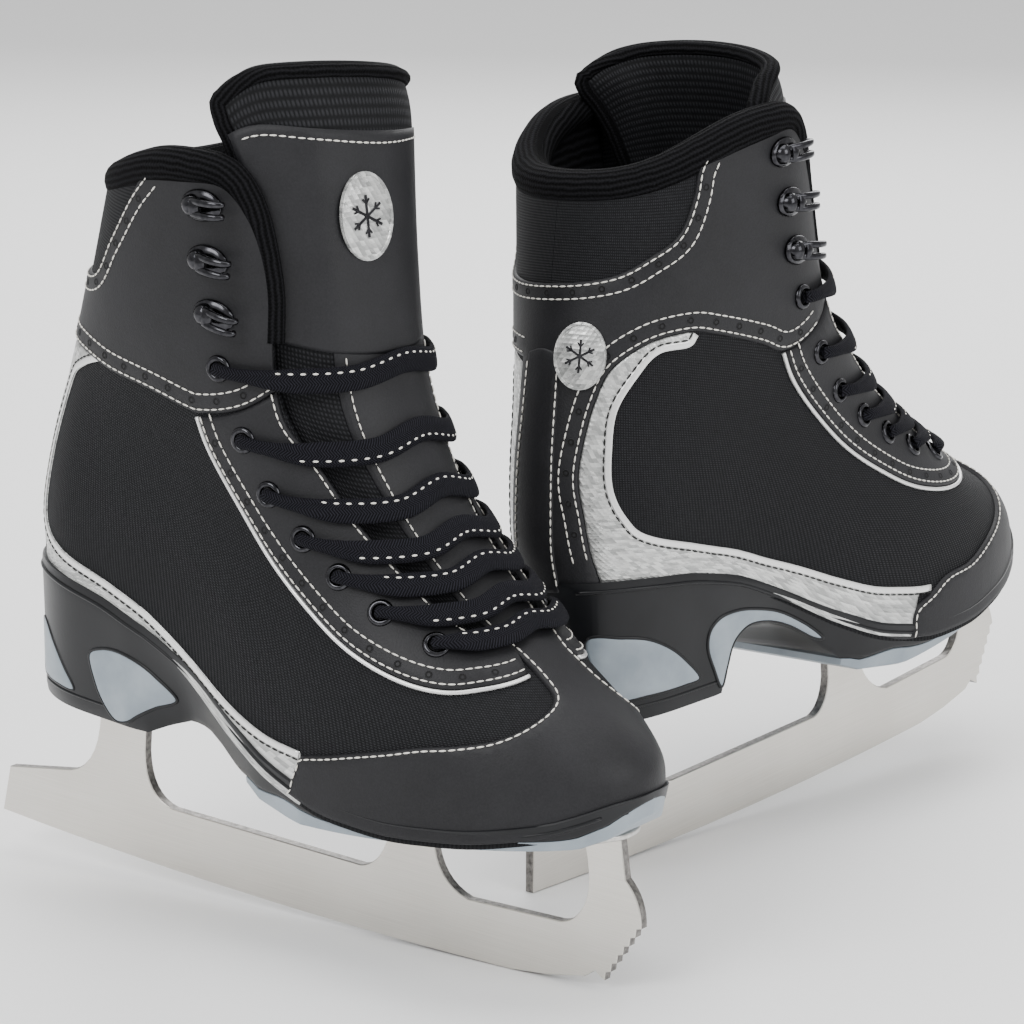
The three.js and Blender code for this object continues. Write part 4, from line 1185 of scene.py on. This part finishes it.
SWOOSH_OUT_EDGE = [(-0.58, 0.11), (-0.51, 0.11), (-0.44, 0.11), (-0.37, 0.10), (-0.29, 0.12), (-0.21, 0.17),
                   (-0.18, 0.23), (-0.16, 0.31), (-0.16, 0.40), (-0.17, 0.49), (-0.21, 0.57), (-0.25, 0.62),
                   (-0.31, 0.64), (-0.33, 0.665)]
swooshes = [
    panel("heel", [SWOOSH_IN_BACK, SWOOSH_IN_SOLE, SWOOSH_IN_TIP, SWOOSH_IN_EDGE, SWOOSH_IN_TOP], 0.6, 0.05),
    panel("heel", [SWOOSH_OUT_BACK, SWOOSH_OUT_SOLE, SWOOSH_OUT_TIP, SWOOSH_OUT_EDGE], 0.6, 0.05),
]
emit("swoosh", joined(swooshes), SILVER)

BACKSTAY = [[(-0.05, 0.6), (-0.052, 0.3), (-0.05, -0.04)], [(-0.05, -0.04), (0.055, -0.04)],
            [(0.055, -0.04), (0.05, 0.3), (0.045, 0.6)], [(0.045, 0.6), (0.0, 0.61), (-0.05, 0.6)]]
emit("backstay", panel("heel", BACKSTAY, 1.1, 0.9), LEATHER)


# ---------------------------------------------------------------- stitching and punched holes
def row_of(centre, curve, inset_mm, lift=1.5):
    return stitches(centre, curve, inset_mm, lift)


def hole_row(centre, curve, inset_mm, lift=1.2, pitch=10.5):
    return stations(centre, curve, inset_mm, lift, pitch, 5.0)


CUFF_LINE = CUFF[2:14]
white_rows = [("heel", CUFF_LINE, -1.3, 1.35), ("heel", CUFF_LINE, -5.9, 1.35),
              ("heel", YOKE_BAND_OUT[1:-1], -1.8, 1.35), ("heel", YOKE_BAND_OUT[1:-1], -7.0, 1.35),
              ("heel", YOKE_LOW_IN, -1.8, 1.35), ("heel", YOKE_LOW_IN, -7.0, 1.35),
              ("toe", TOE_OUT, 1.3, 1.7), ("toe", TOE_IN, 1.3, 1.7),
              ("heel", [(-0.046, 0.58), (-0.048, 0.3), (-0.046, 0.0)], 0.0, 2.15),
              ("heel", [(0.049, 0.0), (0.046, 0.3), (0.042, 0.58)], 0.0, 2.15)]
for sign in (1, -1):
    turned = (lambda points: points) if sign > 0 else other_side
    white_rows += [("heel", turned(STAY_LOW), -1.6 * sign, 1.7), ("heel", turned(STAY_LOW), -6.2 * sign, 1.7),
                   ("heel", turned(STAY_THROAT), -1.5 * sign, 1.7)]
punch_rows = [("heel", CUFF_LINE, -3.6, 1.2), ("heel", YOKE_BAND_OUT[1:-1], -4.4, 1.2),
              ("heel", YOKE_LOW_IN, -4.4, 1.2), ("heel", STAY_LOW, -3.9, 1.55),
              ("heel", other_side(STAY_LOW), 3.9, 1.55)]
emit("stitching", joined([row_of(*row) for row in white_rows]), THREAD)
dark_rows = [("heel", SWOOSH_IN_EDGE, -2.9, 0.8), ("heel", SWOOSH_OUT_EDGE, 2.9, 0.8)]
emit("silver_stitching", joined([row_of(*row) for row in dark_rows]), DARK_STITCH)
punches = [hole_row(*row) for row in punch_rows]
punch_at = np.concatenate([place for place, _ in punches])
punch_axes = np.concatenate([axes for _, axes in punches])
# The dishes carry painted shade for the depth of each punched hole.
emit("holes_painted_shade", scattered(HOLE_SHADE_DISH, punch_at, punch_axes), HOLE_SHADE)
emit("punched_rims", scattered(HOLE_LIP, punch_at, punch_axes), LEATHER)


def trim(centre, curve, offset, lift, section):
    """Thin piping laid along a chart curve."""
    flat = shifted(centre, flat_curve(curve, 1.2), offset)
    point, normal, _, _ = chart_frame(centre, flat)
    return sweep(point + normal * lift, normal, section)


ROUND_PIPING, FLAT_PIPING = ellipse(0.8, 0.8, 8), ellipse(1.25, 0.22, 12, 4)
piping = [trim("heel", STAY_LOW, 0.9, 0.55, ROUND_PIPING),
          trim("heel", other_side(STAY_LOW), -0.9, 0.55, ROUND_PIPING),
          trim("heel", SWOOSH_IN_EDGE, -1.3, 0.62, FLAT_PIPING),
          trim("heel", SWOOSH_OUT_EDGE, 1.3, 0.62, FLAT_PIPING)]
emit("piping", joined(piping), PIPING)


# ---------------------------------------------------------------- tongue
TONGUE_RISE = 23.0
TONGUE_LOW = 0.47
# How the soft top of each tongue has settled, forward and up, in millimetres.
TONGUE_LEAN = {"left": (0.0, 8.0), "right": (-6.0, -6.5)}
LEVEL = (0.0, 0.0)


def tongue_point(level, across, depth, lean=LEVEL):
    """Point of the tongue: across is -1 at the outer edge and 1 at the inner, and depth goes inward."""
    level, across, depth = np.broadcast_arrays(level, across, depth)
    shape = level.shape
    level, across, depth = level.ravel(), across.ravel(), depth.ravel()
    aside = np.abs(across)
    edge = np.minimum(throat_way(level), 0.93) - 0.035
    way = 1 - (1 - edge) * aside
    tuck = smooth(aside, 0.45, 0.8) * (SHELL + 0.6)
    v = np.clip((level - 0.8) / 0.2, 0, 1)
    corner = 1 - 0.3 * aside**2 - 0.32 * aside**6 + 0.27 * across
    rise = (TONGUE_RISE + lean[1]) * v**2 * corner
    point, normal, _, _ = skin_frame(level, way, np.where(across < 0, -1.0, 1.0))
    point = point - normal * (1 + tuck + depth)[:, None]
    return (point + np.stack([-0.25 * rise + lean[0] * v, 0 * rise, rise], 1)).reshape(*shape, 3)


def tongue_sheet(level, across, outer, inner, lean, lift=0.0):
    """Layer of the tongue between two depths. lift raises the ends of its rows, in levels."""
    grid_level, grid_across = np.meshgrid(level, across, indexing="ij")
    ramp = np.linspace(0, 1, len(level))[:, None]
    grid_level = grid_level + lift * ramp * np.abs(grid_across) ** 2
    weave = np.stack([grid_across * 42, grid_level * TALL], 2)
    faces = (tongue_point(grid_level, grid_across, depth, lean) for depth in (outer, inner))
    return slab(*faces, weave)


def for_each(make):
    """The shape that a function makes with each side's lean."""
    return {side: make(lean) for side, lean in TONGUE_LEAN.items()}


across = np.linspace(-1, 1, 57)
level = np.linspace(TONGUE_LOW, 1, 90)
grid_level, grid_across = np.meshgrid(level, across, indexing="ij")
border = 1 - np.maximum(np.abs(grid_across) ** 6, smooth(grid_level, 0.95, 1.0) ** 3)
swell = np.sqrt(np.clip(border, 0.02, 1))
weave = np.stack([grid_across * 42, grid_level * TALL], 2)
tongue = for_each(lambda lean: slab(tongue_point(grid_level, grid_across, 2.6 - 3.4 * swell, lean),
                                    tongue_point(grid_level, grid_across, 3.4 + 3.8 * swell, lean), weave))


def bend_with_tongue(pieces_made):
    """Bakes each piece's placement into its mesh; the tongue points it works out at levels 0.77 and 0.85 are
    not used.
    """
    for piece in pieces_made:
        ends = [tongue_point(np.array(at), np.array(0.0), np.array(0.0)) for at in (0.77, 0.85)]
        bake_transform(piece)


tongue_pieces = emit("tongue", tongue, NYLON, ["tongue_base", "tongue_top"], body=None)
strip_levels, strip_across = np.linspace(0.475, 0.815, 60), np.linspace(-0.52, 0.52, 31)
panel_levels, panel_across = np.linspace(0.8, 0.963, 40), np.linspace(-0.975, 0.975, 51)
front = for_each(lambda lean: joined([tongue_sheet(strip_levels, strip_across, -1.3, 0.2, lean),
                                      tongue_sheet(panel_levels, panel_across, -1.4, 0.2, lean, 0.012)]))
tongue_pieces += emit("tongue_front", front, LEATHER, body=None)


def tongue_stitches(levels, across_values, lean, depth=-1.55):
    points = through(np.stack([levels, across_values], 1), 160)
    path = tongue_point(points[:, 0], points[:, 1], np.full(len(points), depth), lean)
    out = unit(tongue_point(points[:, 0], points[:, 1], np.full(len(points), depth - 1), lean) - path)
    run = run_lengths(path)
    at = np.arange(STITCH_PITCH / 2, run[-1], STITCH_PITCH)
    place = np.stack([np.interp(at, run, path[:, k]) for k in range(3)], 1)
    out = unit(np.stack([np.interp(at, run, out[:, k]) for k in range(3)], 1))
    heading = np.stack([np.interp(at, run, np.gradient(path, axis=0)[:, k]) for k in range(3)], 1)
    heading = unit(heading - out * (heading * out).sum(1, keepdims=True))
    return scattered(STITCH, place, np.stack([heading, np.cross(out, heading), out], 1))


STRIP_LEVELS = [0.48, 0.6, 0.7, 0.8]


def tongue_seams(lean):
    top = tongue_stitches([0.967, 0.960, 0.956, 0.960, 0.967], [-0.94, -0.5, 0, 0.5, 0.94], lean)
    return joined([top] + [tongue_stitches(STRIP_LEVELS, [across] * 4, lean) for across in (0.45, -0.45)])


tongue_pieces += emit("tongue_stitching", for_each(tongue_seams), THREAD, body=None)


def tongue_binding(lean):
    """Knit binding rolled over the top edge and down both sides."""
    rise = np.linspace(0.86, 0.985, 20)
    edge_level = np.concatenate([rise, np.full(70, 0.995), rise[::-1]])
    edge_across = np.concatenate([np.full(20, -0.995), np.linspace(-0.98, 0.98, 70), np.full(20, 0.995)])
    rim = through(tongue_point(edge_level, edge_across, np.full(110, 2.6), lean), 150)
    return sweep(rim, [0.97, 0.0, 0.25], ellipse(2.6, 3.6, 14))


tongue_pieces += emit("tongue_binding", for_each(tongue_binding), PLUSH, body=None)
bend_with_tongue(tongue_pieces)


# ---------------------------------------------------------------- collar
def collar_path(count=150):
    """Round the collar from the outer front corner, past the heel, to the inner front corner."""
    across = np.linspace(-1, 1, count)
    way = np.abs(across) * throat_way(np.array([1.0]))[0]
    side = np.where(across < 0, -1.0, 1.0)
    point, normal, _, _ = skin_frame(collar_level(way) - 0.004, way, side)
    return point, normal, across


edge_levels = np.linspace(0.80, 0.985, 26)
outer_edge = surface(edge_levels, throat_way(edge_levels), -1.0, -1.9)
inner_edge = surface(edge_levels, throat_way(edge_levels), 1.0, -1.9)
ring, ring_normal, ring_across = collar_path()
settled = (5.0 - 2.6 * smooth(np.abs(ring_across), 0.55, 1.0))[:, None]
roll_path = np.concatenate([outer_edge, ring - ring_normal * settled, inner_edge[::-1]])
roll_path = through(roll_path, 260)
for _ in range(50):
    roll_path[1:-1] = (roll_path[:-2] + 2 * roll_path[1:-1] + roll_path[2:]) / 4
span = np.abs(np.linspace(-1, 1, 260))
thick = 7.0 - 3.4 * smooth(span, 0.4, 0.85)
centre = np.array([95.0, 0.0])
away = np.column_stack([roll_path[:, :2] - centre, np.full(260, 18.0)])
collar_roll = sweep(roll_path, unit(away), ellipse(1, 1, 18), thick)
for piece in emit("collar_roll", collar_roll, PLUSH):
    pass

lining_across = np.linspace(-0.6, 0.6, 90)[None, :]
lining_v = np.linspace(0, 1, 30)[:, None]
lining_way = np.broadcast_to(np.abs(lining_across), (30, 90))
lining_level = 0.72 + (collar_level(lining_way) - 0.72) * lining_v
lining_side = np.where(np.broadcast_to(lining_across, (30, 90)) < 0, -1.0, 1.0)
belly = 1.5 + 6.5 * np.sin(np.pi * (0.12 + 0.83 * lining_v)) * (1 - smooth(lining_way, 0.38, 0.6))


def lining_grid(depth):
    point = surface(lining_level.ravel(), lining_way.ravel(), lining_side.ravel(), -np.ravel(depth))
    return point.reshape(30, 90, 3)


lining_weave = np.stack([np.broadcast_to(lining_across * WIDE, (30, 90)), lining_level * TALL], 2)
lining = slab(lining_grid(np.full((30, 90), SHELL + 0.1)), lining_grid(SHELL + 0.1 + belly), lining_weave)
for piece in emit("collar_lining", lining, PLUSH, ["collar_padding"]):
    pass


# ---------------------------------------------------------------- eyelets, lace and hooks
EYELETS = [[123, 200], [133, 177], [143.5, 160], [157.5, 147], [172, 136.5], [188.5, 127], [208, 119]]
HOOKS = [[115.5, 254.5], [118, 236], [120.8, 217.8]]
LACE_CENTRE_LEVELS = [0.79, 0.715, 0.655, 0.605, 0.56, 0.515, 0.472]
LACE_MIDDLE = [1.6, 1.8, 2.1, 2.6, 3.2, 3.8, 4.2]
LACE_ABOVE = 4.2
LACE_BEHIND = 7.5


def seat(x, z, side, lift):
    """Origin and axes (forward, up the boot, outward) at a side-view place."""
    level, way = find_on_skin(x, z)
    point, normal, by_way, _ = skin_frame([level], [way], [side])
    out = normal[0]
    forward = unit(by_way[0] - out * (by_way[0] @ out))
    return point[0] + out * lift, np.stack([forward, np.cross(out, forward), out])


EYELET_RING = [(2.4, -0.5), (4.6, -0.5), (4.65, 0.1), (4.3, 0.85), (3.4, 1.15), (2.7, 0.8), (2.4, 0.1),
               (2.4, -0.5)]
# The well is a near-black plug in the eyelet's hole: painted shade.
EYELET_SHADE_PLUG = [(0.02, -0.9), (2.5, -0.9), (2.5, 0.05), (0.02, 0.0)]
eyelet_rings, eyelet_shade_plugs = [], []
for side in walls:
    for x, z in EYELETS:
        origin, axes = seat(x, z, side, 1.5)
        eyelet_rings.append(lathe(EYELET_RING, 30).moved(origin, axes))
        eyelet_shade_plugs.append(lathe(EYELET_SHADE_PLUG, 20).moved(origin, axes))
emit("eyelets", joined(eyelet_rings), GUNMETAL, crisp=60)
emit("eyelet_shade_plugs", joined(eyelet_shade_plugs), HOLE_SHADE)


def lace_path(k):
    """Stops of one bar, from behind one eyelet to behind the other, with its up direction."""
    level, way = find_on_skin(*EYELETS[k])
    middle = LACE_CENTRE_LEVELS[k]
    stops = [(level, way, -LACE_BEHIND), (level, way, -1.0), (level, way, LACE_ABOVE - 1.2)]
    for f in (0.12, 0.33, 0.66):
        stops.append((level + (middle - level) * f, way + (1 - way) * f,
                      LACE_ABOVE + (LACE_MIDDLE[k] + 0.3 - LACE_ABOVE) * f))
    start = -1.0 if k % 2 else 1.0
    places, ups = [], []
    for side, run_of in ((start, stops), (-start, stops[::-1])):
        at = np.array(run_of)
        point, normal, _, _ = skin_frame(at[:, 0], at[:, 1], np.full(len(at), side))
        places.append(point + normal * at[:, 2:3])
        ups.append(normal)
        if side == start:
            point, normal, _, _ = skin_frame([middle], [1.0], [1.0])
            places.append(point + normal * LACE_MIDDLE[k])
            ups.append(normal)
    path = through(np.concatenate(places), 110)
    up = through(np.concatenate(ups), 110)
    return path, unit(up)


lace_bars, lace_dashes = [], []
for k in range(len(EYELETS)):
    path, up = lace_path(k)
    along_bar = np.linspace(0, 1, len(path))
    flat_part = smooth(along_bar, 0.1, 0.26) * smooth(1 - along_bar, 0.1, 0.26)
    size = np.column_stack([0.5 + 0.5 * flat_part, 1.5 - 0.5 * flat_part])
    lace_bars.append(sweep(path, up, ellipse(4.3, 1.15, 16, 2.6), size))
    heading = unit(np.gradient(path, axis=0))
    across_bar = np.cross(heading, unit(up - heading * (up * heading).sum(1, keepdims=True)))
    run = run_lengths(path)
    at = np.arange(run[-1] * 0.2, run[-1] * 0.8, 4.2)
    pick = lambda values: unit(np.stack([np.interp(at, run, values[:, j]) for j in range(3)], 1))
    place = np.stack([np.interp(at, run, path[:, j]) for j in range(3)], 1)
    axes = np.stack([pick(heading), pick(across_bar), np.cross(pick(heading), pick(across_bar))], 1)
    sign = 1 if (axes[:, 2] * pick(up)).sum() > 0 else -1
    place = place + axes[:, 1] * 2.3 + axes[:, 2] * sign * 1.0
    lace_dashes.append(scattered(bead(1.0, 0.4, 0.25), place, axes))
emit("lace", joined(lace_bars), LACE, ["lace"])
emit("lace_dashes", joined(lace_dashes), THREAD)

HOOK_BASE = [(0.02, -0.4), (4.6, -0.4), (4.7, 0.3), (4.2, 1.0), (2.4, 1.3), (0.02, 1.35)]
HOOK_DOME = [(3.1, 0.9), (3.0, 2.2), (2.3, 3.3), (1.1, 3.9), (0.02, 4.0)]


def hook_shape():
    """Oval foot, a domed rivet and a two-pronged claw that opens towards the toe."""
    foot = lathe(HOOK_BASE, 32, (1.35, 0.95))
    turned_dome = lathe(HOOK_DOME, 24)
    dome = Shape(turned_dome.verts + [-2.2, 0, 0], turned_dome.faces, turned_dome.weave)
    prongs = []
    for y in (1.75, -1.75):
        path = through([[-3.0, y * 0.7, 1.6], [-0.5, y, 3.6], [3.2, y, 4.9], [7.0, y, 4.9], [8.8, y, 3.8],
                        [8.2, y, 2.6]], 34)
        taper = 1 - 0.25 * smooth(np.linspace(0, 1, 34), 0.6, 1.0)
        prongs.append(sweep(path, [0, 1, 0], ellipse(0.85, 1.0, 12, 2.6), taper))
    bridge = sweep(through([[0.2, -1.9, 3.9], [0.2, 0, 4.2], [0.2, 1.9, 3.9]], 12), [0, 0, 1],
                   ellipse(1.6, 0.75, 12, 3))
    return joined([foot, dome, *prongs, bridge])


HOOK = hook_shape()
HOOK_SIZE = 1.22
for face, side in (("inner", 1.0), ("outer", -1.0)):
    for i, (x, z) in enumerate(HOOKS):
        origin, axes = seat(x, z, side, 1.45)
        emit(f"hook_{face}_{i + 1}", HOOK.moved(origin, axes * HOOK_SIZE), GUNMETAL,
             [f"hook_{face}_{i + 1}"], crisp=50)


# ---------------------------------------------------------------- insole
way = np.linspace(0.1, 0.94, 70)
rim_in, rim_out = surface(np.full(70, 0.02), way, 1.0, -6.4), surface(np.full(70, 0.02), way, -1.0, -6.4)
footbed = []
for a, b in zip(rim_in, rim_out):
    t = np.linspace(0, 1, 22)[:, None]
    top_line = a + (b - a) * t
    base = float(sole_joint(a[0])) + 5
    dish = 1.2 * (1 - (2 * t[:, 0] - 1) ** 4)
    top_line[:, 2] = base + 3.5 + 1.2 - dish
    low_line = top_line.copy()
    low_line[:, 2] = base
    footbed.append(np.concatenate([top_line, low_line[::-1]]))
emit("insole", rings(footbed), PLUSH, ["insole"], crisp=50)


# ---------------------------------------------------------------- badges
def oval_badge(origin, axes, wide, tall):
    """Plain silver oval with a raised rim and a simple six-armed snowflake."""
    plate = lathe([(0.02, 0.7), (0.93, 0.7), (1.0, 0.45), (1.0, -0.3), (0.02, -0.3)], 40, (wide, tall))
    rim_line = [(0.9, 0.6), (0.99, 0.6), (0.99, 1.05), (0.92, 1.1), (0.9, 0.6)]
    rim_ring = lathe(rim_line, 40, (wide, tall))
    arms = []
    reach = 0.62 * min(wide, tall)
    for k in range(6):
        angle = math.pi / 6 + k * math.pi / 3
        tip = np.array([math.cos(angle), math.sin(angle), 0]) * reach + [0, 0, 0.85]
        arms.append(sweep(np.linspace([0, 0, 0.85], tip, 6), [0, 0, 1], ellipse(0.07 * reach, 0.22, 8, 3)))
        for turn_by in (0.7, -0.7):
            start = np.array([math.cos(angle), math.sin(angle), 0]) * reach * 0.58 + [0, 0, 0.85]
            end = start + np.array([math.cos(angle + turn_by), math.sin(angle + turn_by), 0]) * reach * 0.3
            arms.append(sweep(np.linspace(start, end, 4), [0, 0, 1], ellipse(0.05 * reach, 0.2, 8, 3)))
    for shape in (plate, rim_ring):
        shape.weave = shape.verts[:, :2]
    return joined([plate, rim_ring]).moved(origin, axes), joined(arms).moved(origin, axes)


badge_point, badge_normal, by_s, _ = chart_frame("heel", np.array([[-0.095 * WIDE, 0.60 * TALL]]))
badge_out = badge_normal[0]
badge_right = unit(by_s[0] - badge_out * (by_s[0] @ badge_out))
badge_axes = np.stack([badge_right, np.cross(badge_out, badge_right), badge_out])
SIDE_BADGE_LIFT, SIDE_BADGE_HALVES = 1.6, (9.5, 12)
badge_place = badge_point[0] + badge_out * SIDE_BADGE_LIFT
plate, flake = oval_badge(badge_place, badge_axes, *SIDE_BADGE_HALVES)
emit("side_badge", plate, SILVER, crisp=50)
emit("side_badge_flake", flake, GUNMETAL, crisp=50)

BADGE_LEVEL, BADGE_ACROSS = 0.912, 0.2
BADGE_DEPTH = -1.5                      # just in front of the tongue's face
TONGUE_BADGE_HALVES = (11.5, 15)


def tongue_badge(lean):
    def spot(up=0.0, over=0.0):
        level, across = np.array(BADGE_LEVEL + up), np.array(BADGE_ACROSS + over)
        return tongue_point(level, across, np.array(BADGE_DEPTH), lean).reshape(3)

    up_tongue = unit(spot(up=0.01) - spot(up=-0.01))
    aside = spot(over=0.05) - spot(over=-0.05)
    out = unit(np.cross(aside, up_tongue))
    out = out if out[0] > 0 else -out
    axes = np.stack([np.cross(up_tongue, out), up_tongue, out])
    return oval_badge(spot(), axes, *TONGUE_BADGE_HALVES)


bend_with_tongue(emit("tongue_badge", for_each(lambda lean: tongue_badge(lean)[0]), SILVER,
                      body=None,
                      crisp=50)
                 + emit("tongue_badge_flake", for_each(lambda lean: tongue_badge(lean)[1]), GUNMETAL,
                        body=None, crisp=50))


# ---------------------------------------------------------------- studio
def area_light(name, location, target, size, power):
    lamp = bpy.data.lights.new(name, "AREA")
    lamp.shape = "RECTANGLE"
    lamp.size, lamp.size_y = size
    lamp.energy = power
    light = bpy.data.objects.new(name, lamp)
    light.location = location
    light.rotation_euler = (Vector(target) - Vector(location)).to_track_quat("-Z", "Y").to_euler()
    bpy.context.scene.collection.objects.link(light)


area_light("key", (-1.0, -1.3, 1.5), (0, 0, 0.12), (1.0, 1.0), 26)
area_light("fill", (1.3, -0.9, 0.9), (0, 0, 0.12), (1.0, 1.0), 13)
area_light("top", (0.0, 0.2, 1.8), (0, 0, 0.1), (1.6, 1.6), 26)
area_light("rim", (0.2, 1.5, 0.9), (0, 0, 0.15), (1.6, 0.8), 16)

world = bpy.data.worlds.new("studio")
world.use_nodes = True
world.node_tree.nodes["Background"].inputs["Color"].default_value = (1, 1, 1, 1)
world.node_tree.nodes["Background"].inputs["Strength"].default_value = 0.78
bpy.context.scene.world = world

floor_mesh = bpy.data.meshes.new("floor")
FLOOR_HALF = 6.0
corners = [(x, y, 0) for x, y in ((-1, -1), (1, -1), (1, 1), (-1, 1))]
floor_mesh.from_pydata([(x * FLOOR_HALF, y * FLOOR_HALF, 0) for x, y, _ in corners], [], [(0, 1, 2, 3)])
floor_mesh.materials.append(floor_look())
floor = bpy.data.objects.new("floor", floor_mesh)
bpy.context.scene.collection.objects.link(floor)

CAMERA_PLACE = (-0.004857, -1.46317, 0.5131)
CAMERA_DOWN = 14.71
camera = bpy.data.objects.new("camera", bpy.data.cameras.new("camera"))
camera.data.lens = 147.5
camera.data.clip_start = 0.05
camera.location = CAMERA_PLACE
camera.rotation_euler = (math.radians(90 - CAMERA_DOWN), 0, 0)
bpy.context.scene.collection.objects.link(camera)
bpy.context.scene.camera = camera
